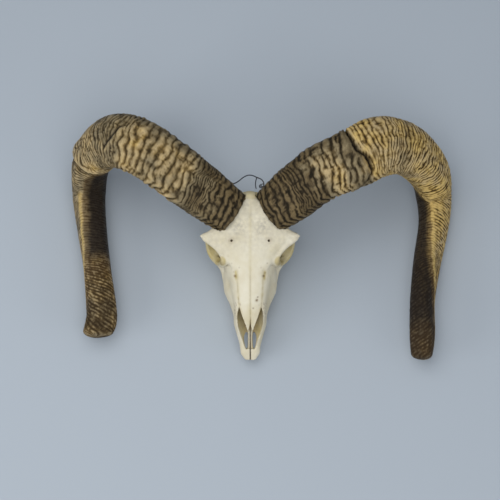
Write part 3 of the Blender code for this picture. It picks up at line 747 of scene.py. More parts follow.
space = bmesh.new()
draw_out(space, muzzle_rings(NOSE_SPACE))
nose_space = new_piece("nose_space", space)
roof = copy_piece(skull, "roof")
melt(roof, BONE_VOXEL, 2)
shape_bone(roof)
outline = whole_outline(NASAL_EDGE, 0, NASAL_WAVER)
half = len(outline) // 2
for name, side in SIDES.items():
    nasal = copy_piece(roof, "nasal_bone_" + name)
    outer = outline[:half] if side > 0 else outline[:half - 1:-1]
    inner = [(side * gap, v) for v, gap in smooth_line(NASAL_MIDDLE, 4)]
    carve(nasal, plate_tool(outer + inner[::-1], NASAL_LOW, NASAL_TOP), "INTERSECT")
    carve(nasal, nose_space, keep_tool=True)
    finish_bone(nasal, "nasal_" + name)
bpy.data.objects.remove(roof)

# ---- The rest of the skull, opened and worn ---------------------------------------------
# The nose is open to the front and through two slots in the palate. Everything is then worn
# once more, so that its rims have the bone's round edges, and a nerve hole opens in each brow.

APERTURE = (
    (-93, 15.5), (-104, 17.9), (-118, 17.4), (-132, 13.8), (-144, 10.0), (-152, 6.6), (-156, 2.5),
)
APERTURE_FLOOR = -26
PALATE_SLOT = (
    (4.4, -129), (6.8, -130.5), (8.8, -136), (8.6, -143), (6.9, -150.5), (5.0, -155), (3.7, -150),
    (3.3, -142), (3.4, -134),
)
PALATE_LOW, PALATE_HIGH = -62, -30
BROW_NERVE = ((26.2, 0, 0), 1.8)

carve(skull, nose_space)
carve(skull, plate_tool(whole_outline(APERTURE, 0, 0.8), APERTURE_FLOOR, NASAL_TOP))
for side in SIDES.values():
    slot = smooth_line([(side * u, v) for u, v in PALATE_SLOT], 4, closed=True)
    carve(skull, plate_tool(slot, PALATE_LOW, PALATE_HIGH))
block = bmesh.new()
place = Matrix.Translation((0, 0, -0.1))
bmesh.ops.create_cube(block, size=1, matrix=place @ Matrix.Diagonal((1, 1, 0.2, 1)))
carve(skull, new_piece("below_floor", block))
melt(skull, BONE_VOXEL, 2)
shape_bone(skull)
for side in SIDES.values():
    (u, v, w), radius = BROW_NERVE
    carve(skull, drill((side * u, v, w), radius, (0.15 * side, 0.3, 1)))
nasal_seat = whole_outline(NASAL_EDGE, NASAL_GAP, NASAL_WAVER)
carve(skull, plate_tool(nasal_seat, NASAL_LOW - NASAL_GAP, NASAL_TOP))

# ---- Parting the bones ------------------------------------------------------------------
# The bones meet in fine toothed seams: cheek to brow, upper jaw to the tip of the muzzle,
# cheekbone to brain case, and the occipital bone at the back of the head.

SEAM = 0.05
SEAM_PITCH = 4.2
SEAM_WANDER = 24
# Leaning seams: v and w of a point on them, and how many degrees they lean.
CHEEK_SEAM = (-47.0, 0.0, -5.0)
MUZZLE_SEAM = (-98.0, -20.0, 45.0)
POLL_SEAM = (58.0, -20.0, 10.6)
POLL_TOP = -18.0
BROW_FLOOR = -44.0
CHEEKBONE = (38.0, 21.5)
SLIT_START, SLIT_END, SLIT_HALF, SLIT_FLOOR = -95.0, -166.5, 0.75, -42.0
SHEET_STEPS = 170
SHEET_SPAN = 262.0
SHEET_MIDDLE = (0.0, -50.0, -50.0)


def wavering(a, b, seed):
    """The teeth and the wander of a seam at a place on it."""
    teeth = noise.noise((a / SEAM_PITCH, b / SEAM_PITCH, seed))
    return 1.4 * teeth + 2.5 * noise.noise((a / SEAM_WANDER, b / SEAM_WANDER, seed + 5))


def leaning(seam):
    v0, w0, lean = seam
    slope = sin(radians(lean)) / cos(radians(lean))
    return lambda u, w: v0 + (w - w0) * slope + wavering(u, w, v0)


def level_seam(level):
    return lambda a, b: level + wavering(a, b, level)


def beyond(axis, line, side, gap=0.5 * SEAM):
    """All space past a seam: its sheet, drawn far out along one axis of the face."""
    bm = bmesh.new()
    bmesh.ops.create_grid(bm, x_segments=SHEET_STEPS, y_segments=SHEET_STEPS, size=0.5)
    others = [other for other in range(3) if other != axis]
    for vert in bm.verts:
        place = [0.0, 0.0, 0.0]
        for other, share in zip(others, vert.co):
            place[other] = SHEET_MIDDLE[other] + share * SHEET_SPAN
        place[axis] = line(place[others[0]], place[others[1]]) + side * gap
        vert.co = on_face(*place)
    far = [0.0, 0.0, 0.0]
    far[axis] = side * SHEET_SPAN
    raise_faces(bm, bm.faces[:], on_face(*far) - on_face(0, 0, 0))
    return new_piece("beyond", bm)


def part_off(name, *cuts):
    """A copy of the skull kept only where every cut keeps it."""
    piece = copy_piece(skull, name)
    for cut in cuts:
        carve(piece, beyond(*cut), "INTERSECT")
    return piece


def corner(*cuts):
    """The space past several seams at once, to take out of a bone."""
    tool = beyond(*cuts[0], gap=-0.5 * SEAM)
    for cut in cuts[1:]:
        carve(tool, beyond(*cut, gap=-0.5 * SEAM), "INTERSECT")
    return tool


cheek, muzzle = leaning(CHEEK_SEAM), leaning(MUZZLE_SEAM)
poll, poll_top = leaning(POLL_SEAM), level_seam(POLL_TOP)
brow_floor = level_seam(BROW_FLOOR)
behind = (1, cheek, 1)
below, above = (2, brow_floor, -1), (2, brow_floor, 1)
poll_block = (1, poll, 1), (2, poll_top, -1)
inner, hind = CHEEKBONE

finish_bone(part_off("occipital_bone", *poll_block), "occipital")
brow = part_off("brow_bones", behind, above)
carve(brow, corner(*poll_block))
finish_bone(brow, "frontal_left", "frontal_right")
brain_case = part_off("brain_case", behind, below)
carve(brain_case, corner(*poll_block))
for name, side in SIDES.items():
    arch = (0, level_seam(side * inner), side), (1, level_seam(hind), -1)
    carve(brain_case, corner(*arch))
    finish_bone(part_off("cheekbone_" + name, behind, below, *arch), "zygomatic_" + name)
finish_bone(brain_case, "cranium")


def slit(v, w):
    """Half the width of the slit between the two bones, which meet again at the palate."""
    opened = min(1, max(0, (SLIT_START - v) / (SLIT_START - SLIT_END)))
    return SLIT_HALF * opened if w > SLIT_FLOOR else 0


for name, side in SIDES.items():
    jaw = part_off("upper_jaw_" + name, (1, cheek, -1), (1, muzzle, 1), (0, lambda v, w: 0, side))
    finish_bone(jaw, "maxilla_" + name)
    tip = part_off("muzzle_tip_" + name, (1, muzzle, -1), (0, lambda v, w: side * slit(v, w), side))
    finish_bone(tip, "premaxilla_" + name)
bpy.data.objects.remove(skull)

# ---- Cheek teeth ------------------------------------------------------------------------
# Six grinding teeth a side, tall columns of enamel set in the upper jaw, each with two lobes
# and upright ribs outside. They are worn flat, and brown stain fills their folds.

# From the front: length, width and how far the tooth stands off the middle.
TEETH = (
    (9, 9, 17.0), (10, 11, 18.5), (11, 12.5, 20.5), (14, 14, 22.5), (16, 15, 24.5), (16, 14, 25.5),
)
TOOTH_FRONT = -81.0
TOOTH_FOOT, TOOTH_HEIGHT = 0.3, 30.0
TOOTH_ROUND = 40
# The worn face, ring inside ring: share of the half width, and how far it sinks.
WORN_RINGS = ((0.09, 0.0), (0.05, 0.9), (0.22, 0.2))
ENAMEL = (0.66, 0.58, 0.42)
ENAMEL_DARK = (0.26, 0.19, 0.10)
TARTAR = (0.055, 0.035, 0.02)


def tooth(whole, side, start, length, width, middle):
    """One tooth: a two-lobed disc, sunk in crescents below and drawn up into the jaw."""
    lump, crown = new_disc(TOOTH_ROUND)
    for step, vert in enumerate(crown.verts):
        angle = 2 * pi * step / TOOTH_ROUND
        outer = max(0.0, cos(angle))
        reach = 1 - 0.15 * cos(2 * angle) ** 2 * abs(cos(angle)) + 0.07 * outer * cos(8 * angle)
        x = side * (middle + 0.5 * width * cos(angle) * reach)
        along = max(-1, min(1, 1.22 * sin(angle)))
        y = start + (0.5 + 0.47 * along) * length
        vert.co = Vector((x, y, TOOTH_FOOT)) * MM + Vector((FACE.translation.x, FACE.translation.y, 0))
    raise_faces(lump, [crown], (0, 0, TOOTH_HEIGHT * MM), keep=True)
    worn = [face for face in lump.faces if len(face.verts) == TOOTH_ROUND and face.normal.z < -0.5]
    for share, sink in WORN_RINGS:
        bmesh.ops.inset_region(
            lump, faces=worn, thickness=share * width * MM * 0.5, use_even_offset=False
        )
        bmesh.ops.translate(
            lump, verts=list({v for face in worn for v in face.verts}), vec=(0, 0, sink * MM)
        )
    add_to(whole, lump)


def make_enamel():
    mix = Mixer("worn_enamel")
    streaks = mix.cloud(1, 3, 0.6, mix.stretched(mix.place, (700, 700, 60)))
    colour = mix.blend(mix.spread(streaks, 0.4, 0.7), ENAMEL, ENAMEL_DARK)
    tartar = mix.times(mix.layer("tartar"), mix.spread(mix.cloud(300, 3), 0.3, 0.6, 0.5, 1.0))
    colour = mix.blend(tartar, colour, TARTAR)
    mix.relief(mix.plus(streaks, mix.cloud(800, 2)), 0.08)
    return mix.finish(colour, mix.spread(streaks, 0.3, 0.7, 0.28, 0.5))


enamel = make_enamel()
for name, side in SIDES.items():
    row = bmesh.new()
    start = TOOTH_FRONT
    for length, width, middle in TEETH:
        tooth(row, side, start, length, width, middle)
        start += length
    teeth = new_piece("cheek_teeth_" + name, row)
    points, _, _ = read_points(teeth)
    x, y, _ = (points - np.array(FACE.translation)).T / MM
    start = TOOTH_FRONT
    tartar = np.zeros(len(points))
    for length, width, middle in TEETH:
        end_on = np.abs(y - (start + 0.5 * length)) / (0.5 * length)
        side_on = np.abs(x - side * middle) / (0.5 * width)
        folds = 0.9 * step_up(end_on, 0.75, 0.95) + 0.8 * step_up(-side_on, -0.75, -0.5)
        tartar = np.where(end_on < 1, folds, tartar)
        start += length
    carry(teeth, tartar=tartar)
    fasten(teeth, enamel, "bone", sharp=45)

# ---- Horns ------------------------------------------------------------------------------
# A ram's horn is a tube of horn over a core of bone. It is thickest just above the brow and
# is ringed all the way by wrinkles that fork and run together, ten millimetres apart at the
# base and three on the part that hangs. Each sheath is a sheet rolled round its middle line.

# Stations from base to tip: u, v, w, size front to back and size upper to lower edge.
HORN_LINES = {
    "left": (
        (*HORN_BASES["left"][0], 62, 63),
        (-75, 73, -14, 66, 75), (-116, 104, -10, 64, 77), (-158, 131, -16, 60, 79),
        (-197, 139, -42, 58, 77), (-228, 117, -84, 54, 72), (-235, 72, -113, 48, 65),
        (-230, 22, -98.5, 42, 58), (-220, -42, -77, 38, 54), (-213, -92, -55, 42, 44),
        (-212.5, -114, -45.5, 44, 35), (-217, -131, -37, 41, 27),
    ),
    "right": (
        (*HORN_BASES["right"][0], 62, 63),
        (64, 66, -14, 66, 76), (101, 94, -8, 66, 79), (145, 113, -8, 63, 83),
        (184, 131, -20, 61, 85), (225, 126, -49, 60, 77), (258, 97, -87, 55, 70),
        (267, 64, -112, 49, 65), (265, 22, -99.5, 39, 59), (254.5, -31, -83, 35, 54),
        (246, -85, -57, 33, 44), (244.5, -134, -37, 36, 32), (243, -162, -27, 31, 24),
    ),
}
KEEL = radians(-45)
CORNER = 0.06
HORN_RADIUS = 33
HORN_ROUND = 120
# The sheet has so many rows to a wrinkle, but none closer than that in millimetres.
WRINKLE_ROWS, CLOSEST_ROW = 6.5, 0.85
FINE_RUN = 0.25
# Wrinkles are counted from below the base to past the tip, in steps of half a millimetre.
COUNT_FROM, COUNT_TO, COUNT_STEP = -60, 860, 0.5
HORN_SEEDS = {"left": 11.0, "right": 47.0}
PATCH_SEEDS = {"left": 5.0, "right": 31.0}
# Where the crowded upper edge goes over into the yellow or turned-down part: distances.
UPPER_EDGE_END = {"left": (190, 230), "right": (135, 150)}
TIP_ROUND, TIP_LONG = 8.0, 6.0
# Angles of the inner face are read in the turn that ends here, behind the upper edge.
INNER_TOP = 145
# How far the end slants: its front edge runs on and its back edge stops short.
TIP_SLANT = {"left": 5.0, "right": 0.5}
# Growth along the horn: distance from the base, wrinkle spacing, and wrinkle depth.
GROWTH = {
    "left": (
        (0, 7.5, 1.9), (20, 8.5, 2.0), (46, 8.5, 2.1), (58, 4.4, 1.5), (76, 4.6, 1.6), (90, 10.5, 3.3),
        (165, 10.5, 3.3), (188, 6.5, 2.2), (215, 4.6, 1.2), (255, 4.2, 1.0), (300, 4.2, 0.9),
        (440, 4.2, 0.8), (475, 5.2, 0.7), (700, 5.2, 0.7),
    ),
    "right": (
        (0, 8.0, 2.0), (44, 9.2, 2.1), (54, 5.0, 1.6), (68, 5.2, 1.7), (80, 11.5, 3.4),
        (138, 11.5, 3.3), (152, 6.0, 1.9), (200, 5.6, 1.5), (250, 4.8, 1.1), (310, 4.2, 0.9),
        (440, 4.2, 0.8), (480, 5.2, 0.7), (760, 5.2, 0.7),
    ),
}
# How far the wrinkles are drawn back to the base at the keel, and the angle over which that
# fades on its inner and outer side: distance from the base, and millimetres or degrees.
CHEVRON = ((0, 13), (250, 13), (320, 5), (420, 8), (450, 28), (490, 48), (800, 48))
INWARD_FADE = ((300, 38), (470, 75))
OUTWARD_FADE = 62
# Dark crowded bands: distance from the base, half length, and how dark.
DARK_BANDS = {
    "left": ((0, 10, 0.9), (66, 11, 0.8), (152, 4, 0.25)),
    "right": ((0, 14, 0.9), (28, 6, 0.6), (62, 15, 0.9), (212, 7, 0.7)),
}
# Past the bend the keel winds round to the front: distance and angle. The smooth dark inner
# face of the horn lies under it, dark partly in its own colour and partly by painted shade.
INNER_EDGE = {
    "left": (
        (235, -215), (246, -140), (254, -100), (264, -74), (280, -62), (320, -57), (360, -50),
        (400, -40), (420, -32), (440, -15), (480, 10), (560, 30),
    ),
    "right": (
        (280, -215), (300, -135), (320, -100), (340, -80), (360, -72), (380, -66), (400, -52),
        (420, -45), (440, -35), (460, -20), (480, 0), (500, 15), (600, 40),
    ),
}
# Where the dark inner face is worn off again towards the end: distance and how far.
INNER_WORN = {
    "left": ((0, 0), (425, 0), (475, 0.75), (700, 0.8)),
    "right": ((0, 0), (520, 0), (560, 0.2), (760, 0.3)),
}
# Colour along the horn: distance, and from near black at -0.5 through grey at 0 and brown at
# 0.5 to yellow at 1.
GOLD = {
    "left": (
        (0, -0.8), (35, -0.45), (60, -0.35), (95, 0.42), (168, 0.45), (192, 0.08), (220, 0.12),
        (238, 0.55), (280, 0.20), (400, 0.20), (440, 0.45), (480, 0.45), (520, 0.1), (700, 0.1),
    ),
    "right": (
        (0, -1.0), (30, -0.85), (60, -0.75), (80, -0.3), (92, 0.25), (118, 0.45), (130, 0.0),
        (146, 0.05), (153, 0.75), (200, 0.6), (250, 0.8), (300, 1.0), (430, 0.9), (500, 0.6),
        (560, 0.1), (700, 0.0),
    ),
}
# Splits across the sheaths, and the crease where the left horn turns down: angle and distance.
RIGHT_SPLIT = ((-75, 130), (-60, 137), (-35, 151), (0, 151), (20, 145), (60, 145), (95, 150))
LEFT_SPLIT = ((-40, 202), (-28, 200), (0, 192), (25, 187), (50, 182))
LEFT_CREASE = ((-130, 244), (-90, 252), (-45, 262), (0, 273), (30, 277), (90, 277))
# How strongly the tones of ridge and groove, with their painted highlight and shade, stand
# apart: distance and strength.
CONTRAST = {
    "left": (
        (0, 1.3), (75, 1.2), (95, 0.88), (170, 0.88), (230, 1.15), (290, 1.5), (430, 1.4), (480, 1.0),
    ),
    "right": ((0, 1.35), (80, 1.3), (150, 1.15), (230, 1.3), (300, 1.6), (430, 1.5), (480, 1.1)),
}
MIDDLE_TONE = 0.58
UV_ROUND = 0.2
# How far the ragged rim of the base reaches past the seat: angle and millimetres.
RIM = {
    "left": (
        (-180, 0), (-90, 1.0), (-45, 3.0), (0, 4.0), (45, 2.5), (70, 0), (90, -4), (110, -3), (180, 0),
    ),
    "right": (
        (-180, 0), (-90, 0.5), (-45, 1.0), (0, 1.5), (45, 0), (70, -2), (90, -4), (110, -3), (180, 0),
    ),
}


def horn_run(name):
    """The middle line and its frame: distance, place, front and upper directions, sizes."""
    line = smooth_line(HORN_LINES[name], 40)
    axis = np.array(HORN_BASES[name][1])
    steps = np.linalg.norm(np.diff(line[:, :3], axis=0), axis=1)
    run = np.concatenate(([0], np.cumsum(steps)))
    front = np.array((0.0, 0.0, 1.0))
    fronts, uppers = [], []
    for index in range(len(line)):
        ahead = axis
        if index:
            ahead = line[min(index + 1, len(line) - 1), :3] - line[index - 1, :3]
            ahead = ahead / np.linalg.norm(ahead)
        front = front - ahead * (front @ ahead)
        front /= np.linalg.norm(front)
        fronts.append(front)
        uppers.append(np.cross(ahead, front) * -SIDES[name])
    last = line[-1:, :3] + ahead * TIP_LONG
    line = np.vstack((line, np.hstack((last, line[-1:, 3:]))))
    run = np.append(run, run[-1] + TIP_LONG)
    return run, line, np.array(fronts + fronts[-1:]), np.array(uppers + uppers[-1:])


def along_run(run, columns, s):
    """Rows of values given along the middle line, read at other distances."""
    return np.column_stack([np.interp(s, run, column) for column in columns.T])


def turn_between(angle, low, high, soft):
    """1 where an angle lies between two others, in degrees, with soft ends."""
    degrees = (np.degrees(angle) - low + 180) % 360 - 180
    return step_up(degrees, -soft, soft) * step_up(high - low - degrees, -soft, soft)


def wrapped(angle, top=180):
    """An angle in degrees, in the turn that ends at the top."""
    return (np.degrees(angle) + 360 - top) % 360 - (360 - top)


def rolled_out(s, angle):
    """Places on the horn as if it were straight and round, for noise to follow."""
    return np.column_stack((s, HORN_RADIUS * np.cos(angle), HORN_RADIUS * np.sin(angle)))


def rings(turns, narrow):
    """Ridges, one to each turn, with a narrow groove between them."""
    return np.sin(pi * np.abs((turns + 0.5) % 1 - 0.5)) ** narrow


def wrinkles(name, s, angle):
    """Height of the wrinkled surface in millimetres, and what its finish reads."""
    distance, spacing, depth = np.array(GROWTH[name], float).T
    fine = np.arange(COUNT_FROM, COUNT_TO, COUNT_STEP)
    count = np.cumsum(COUNT_STEP / np.interp(fine, distance, spacing))
    count = np.concatenate(([0], count[:-1]))
    seed = HORN_SEEDS[name]
    rolled = rolled_out(s, angle)
    around = rolled[:, 1:]
    # They run round the horn, but wander, and are drawn back to the base at the keel.
    inner_edge = read_off(INNER_EDGE[name], s)
    keel = -45 + (np.maximum(inner_edge, -80) + 45) * step_up(s, 230, 300)
    from_keel = wrapped(angle - np.radians(keel))
    fade = np.where(from_keel > 0, -OUTWARD_FADE, read_off(INWARD_FADE, s))
    chevron = read_off(CHEVRON, s) * np.exp(from_keel / fade)
    calm = 1 - 0.8 * step_up(s, 240, 330)
    waver = calm * (5.5 * cloud_at(rolled, 30, seed) + 3.4 * cloud_at(rolled, 11, seed + 5))
    waver += cloud_at(rolled, 60, seed + 9)
    phase = np.interp(s + chevron + waver, fine, count)
    # In places two of them fork into three.
    fork = step_up(cloud_at(rolled, 26, seed + 3), 0.05, 0.28) * step_up(-s, -260, -200)
    fork = fork * step_up(s, 25, 60)
    narrow = 0.80 + 0.40 * cloud_at(rolled, 9, seed + 17)
    ridge = rings(phase, narrow) * (1 - fork) + rings(phase * 1.5 + 0.2, narrow) * fork
    # Each has its own tone, with lumps and beads along it and fine splits across it.
    own = cloud_at(np.column_stack((phase * 3.1, around / 6)), 2.2, seed + 61)
    lumps = cloud_at(np.column_stack((phase * 9, around)), 8, seed + 21)
    beads = cloud_at(np.column_stack((phase * 2.4, around)), 4.4, seed + 71)
    rough = cloud_at(rolled, 2.6, seed + 33)
    splits = hump(cloud_at(rolled * (0.33, 1, 1), 3.4, seed + 41), 0.08)
    splits = splits * step_up(cloud_at(rolled, 15, seed + 45), -0.15, 0.2)
    # They are lower on the upper edge and the back, and lowest on the dark inner face.
    deep = np.interp(s, distance, depth) * (0.85 + 0.5 * cloud_at(rolled, 22, seed + 13))
    deep = deep * (1 - 0.25 * turn_between(angle, 60, 160, 25))
    deep = deep * (1 - 0.3 * turn_between(angle, 150, 250, 25))
    inner = step_up(inner_edge - wrapped(angle, INNER_TOP), 0, 12) * step_up(s, 250, 300)
    deep = deep * (1 - 0.6 * inner * step_up(-s, -470, -430))
    height = deep * (ridge * (0.62 + 0.75 * lumps + 0.20 * beads) - 0.55)
    height += (0.34 * rough - 0.45 * splits * step_up(deep, 0.7, 1.6)) * np.clip(deep, 0.3, 1.3)
    bands = np.zeros(len(s))
    for middle, half, dark in DARK_BANDS[name]:
        off = np.abs(s + 0.9 * chevron + waver - middle - 6)
        bands = np.maximum(bands, dark * (1 - step_up(off, 0.5 * half, 1.3 * half)))
    height -= 0.9 * bands * (s > 25)
    ridge = 1 - (1 - ridge) * (1 + own * (0.5 + 1.7 * step_up(s, 150, 300)))
    ridge = np.clip(ridge * (0.90 + 0.5 * lumps + 0.25 * beads) + 0.15 * rough - 0.45 * splits, 0, 1)
    return height, ridge, bands, from_keel, inner_edge


def cracks(name, s, angle, height, ridge):
    """Splits in the sheath, and the crease where the left horn turns down, with painted shadow and
    highlight there.
    """
    degrees = wrapped(angle)
    rolled = rolled_out(s, angle)
    uneven = 1.5 * cloud_at(rolled, 7, 3) + 0.8 * cloud_at(rolled, 2.5, 8)
    if name == "right":
        # A gash most of the way round, with a raised lip on one side and broken horn past it.
        off = s - read_off(RIGHT_SPLIT, degrees) - uneven
        here = turn_between(angle, -80, 100, 10)
        lip = here * step_up(off, -17, -3) * (off < 0)
        height += lip * 1.8
        ridge += (0.40 - ridge) * lip * 0.8
        wide = 2.0 + 2.4 * turn_between(angle, -35, 60, 9) + 1.2 * cloud_at(rolled, 5, 2)
        gash = here * hump(off, np.where(off < 0, 1.2, wide))
        height -= 7.0 * gash
        broken = turn_between(angle, 0, 75, 10) * hump(off - 8, 4.0)
        height += 1.4 * broken
        ridge += 0.45 * broken
        return height, np.clip(ridge, 0, 1), gash
    # A short crack on the front, and the crease, where one sheath overhangs the next.
    off = s - read_off(LEFT_SPLIT, degrees) - 0.5 * uneven
    here = turn_between(angle, -26, 32, 6)
    gash = here * hump(off, 1.5)
    lip = here * hump(off + 4, 3.0)
    height += 0.9 * lip - 2.4 * gash
    ridge += 0.3 * lip
    off = s - read_off(LEFT_CREASE, degrees) - 0.4 * uneven
    here = turn_between(angle, -125, 60, 18)
    crease = here * hump(off, np.where(off < 0, 2.0, 1.3))
    # The overhanging lip is painted paler, a painted highlight; the horn below it and the crease line
    # are painted darker, a painted shadow.
    lip = here * np.where(off < 0, step_up(off, -16, -4), -0.8 * step_up(-off, -14, 0))
    height += 3.2 * lip - 2.5 * crease
    ridge += 0.3 * lip
    below = here * (off > 0) * np.exp(-off / 6)
    ridge -= 0.5 * below
    crease = np.maximum(crease, 0.8 * below)
    notch = turn_between(angle, -12, 40, 12) * hump(off, 1.8)
    height -= 2.0 * notch
    dark = np.max((gash, 0.9 * notch, 0.6 * crease), axis=0)
    return height, np.clip(ridge - 0.6 * crease, 0, 1), dark


def grow_horn(name):
    """Roll a flat sheet round the horn's middle line and raise its wrinkles."""
    run, line, fronts, uppers = horn_run(name)
    distance, spacing, _ = np.array(GROWTH[name], float).T
    # The sheet's rows are even, and stand closer on the horn where the wrinkles do.
    fine = np.arange(0, run[-1], FINE_RUN)
    row_step = np.maximum(np.interp(fine, distance, spacing) / WRINKLE_ROWS, CLOSEST_ROW)
    rows_run = np.concatenate(([0], np.cumsum(FINE_RUN / row_step)))
    sheet = bmesh.new()
    bmesh.ops.create_grid(sheet, x_segments=int(rows_run[-1]), y_segments=HORN_ROUND, size=0.5)
    piece = new_piece("horn_sheath_" + name, sheet)
    across, round_way, _ = read_all(piece.data.vertices, "co", 3).T
    s = np.interp((across + 0.5) * rows_run[-1], rows_run, np.append(fine, run[-1]))
    angle = pi + 2 * pi * (round_way + 0.5)
    height, ridge, bands, from_keel, inner_edge = wrinkles(name, s, angle)
    height, ridge, crack = cracks(name, s, angle, height, ridge)
    # The tip is rounded, and the tube has three soft corners, of which one is the keel.
    left = run[-1] - s
    drawn_in = np.sqrt(1 - (1 - np.minimum(1, left / TIP_ROUND)) ** 2 * 0.995)
    height = height * step_up(left, 0, 14)
    places = along_run(run, line, s)
    front, upper = along_run(run, fronts, s), along_run(run, uppers, s)
    form = 1 + CORNER * np.cos(3 * (angle - KEEL))
    sharpen = step_up(s, 230, 330) * step_up(left, 10, 60)
    form += sharpen * (0.05 * hump(from_keel, 14) - 0.04 * hump(from_keel + 45, 28))
    deep = (0.5 * places[:, 3] * form * drawn_in + height) * np.cos(angle)
    high = (0.5 * places[:, 4] * form * drawn_in + height) * np.sin(angle)
    # The end at the brow is ragged, and the tip is cut on a slant.
    rolled = rolled_out(s, angle)
    reach = read_off(RIM[name], wrapped(angle))
    rim = np.exp(-s / 7) * (2.0 * cloud_at(rolled, 9, 71) + cloud_at(rolled, 3, 5) - reach)
    axis = np.array(HORN_BASES[name][1])
    places = places[:, :3] + front * deep[:, None] + upper * high[:, None] + axis * rim[:, None]
    slant = TIP_SLANT[name] * step_up(-left, -30, -4) * np.cos(angle) * drawn_in
    places += slant[:, None] * np.cross(uppers[-1], fronts[-1]) * SIDES[name]
    matrix = np.array(FACE)
    move_points(piece, (places * MM) @ matrix[:3, :3].T + matrix[:3, 3])
    # The left sheet comes out inside out. What stands out of the surface is painted paler and
    # its hollows darker, as painted highlight and shade.
    if name == "left":
        piece.data.flip_normals()
    ridge = ridge * 0.62 + 0.38 * np.clip(0.55 - hollows(piece, 8) / 0.9, 0, 1)
    paint_horn(piece, name, s, angle, ridge, bands, crack, rolled, inner_edge)
    horn = bmesh.new()
    horn.from_mesh(piece.data)
    bmesh.ops.remove_doubles(horn, verts=horn.verts, dist=0.00001)
    bmesh.ops.holes_fill(horn, edges=horn.edges, sides=0)
    bmesh.ops.recalc_face_normals(horn, faces=horn.faces)
    horn.to_mesh(piece.data)
    horn.free()
    fasten(piece, horn_finish, "horn", "horn_" + name)


def paint_horn(piece, name, s, angle, ridge, bands, crack, rolled, inner_edge):
    """What the horn's finish reads at each point, and the flat sheet kept as its UV map."""
    seed = PATCH_SEEDS[name]
    patch = cloud_at(rolled, 30, seed)
    gold = read_off(GOLD[name], s)
    upper_edge = turn_between(angle, 48, 165, 16) * (1 - step_up(s, *UPPER_EDGE_END[name]))
    gold = gold - 0.55 * upper_edge + 0.35 * patch
    under = inner_edge + 5 * cloud_at(rolled, 16, seed) - wrapped(angle, INNER_TOP)
    inner = step_up(s, 245, 275) * (0.7 * step_up(under, 0, 8) + 0.3 * step_up(under, 8, 36))
    inner = inner * (1 - read_off(INNER_WORN[name], s))
    ridge = np.clip(MIDDLE_TONE + (ridge - MIDDLE_TONE) * read_off(CONTRAST[name], s), 0, 1)
    ridge = ridge ** (1 + 1.8 * step_up(s, 425, 465))
    # A pale line along the keel: partly the horn's own pale colour, partly a painted highlight on its
    # edge.
    keel = hump(under + 5, 7) * step_up(s, 300, 340)
    carry(piece, ridge=ridge, gold=0.5 + 0.5 * gold, inner=inner, band=bands, crack=crack, keel=keel)
    corners = read_all(piece.data.loops, "vertex_index", 1, np.int64)[:, 0]
    turns = (angle / (2 * pi)) * UV_ROUND
    uv = piece.data.uv_layers.new(name="rolled")
    uv.data.foreach_set("uv", np.column_stack((s * MM, turns))[corners].ravel())


# Top, middle and groove of a wrinkle in each tone, partly painted highlight and shade; then
# the inner face, and the cracks with the painted shadow at the crease.
YELLOW_TONE = (0.640, 0.455, 0.160), (0.250, 0.155, 0.038), (0.038, 0.020, 0.003)
BROWN_TONE = (0.530, 0.400, 0.205), (0.176, 0.117, 0.042), (0.034, 0.020, 0.005)
GREY_TONE = (0.285, 0.228, 0.130), (0.080, 0.057, 0.025), (0.018, 0.012, 0.004)
DARK_TONE = (0.165, 0.118, 0.054), (0.031, 0.020, 0.007), (0.010, 0.007, 0.002)
HORN_INNER = (0.085, 0.045, 0.014)
HORN_DEEP = (0.012, 0.007, 0.004)
HORN_BLACK = (0.010, 0.007, 0.004)


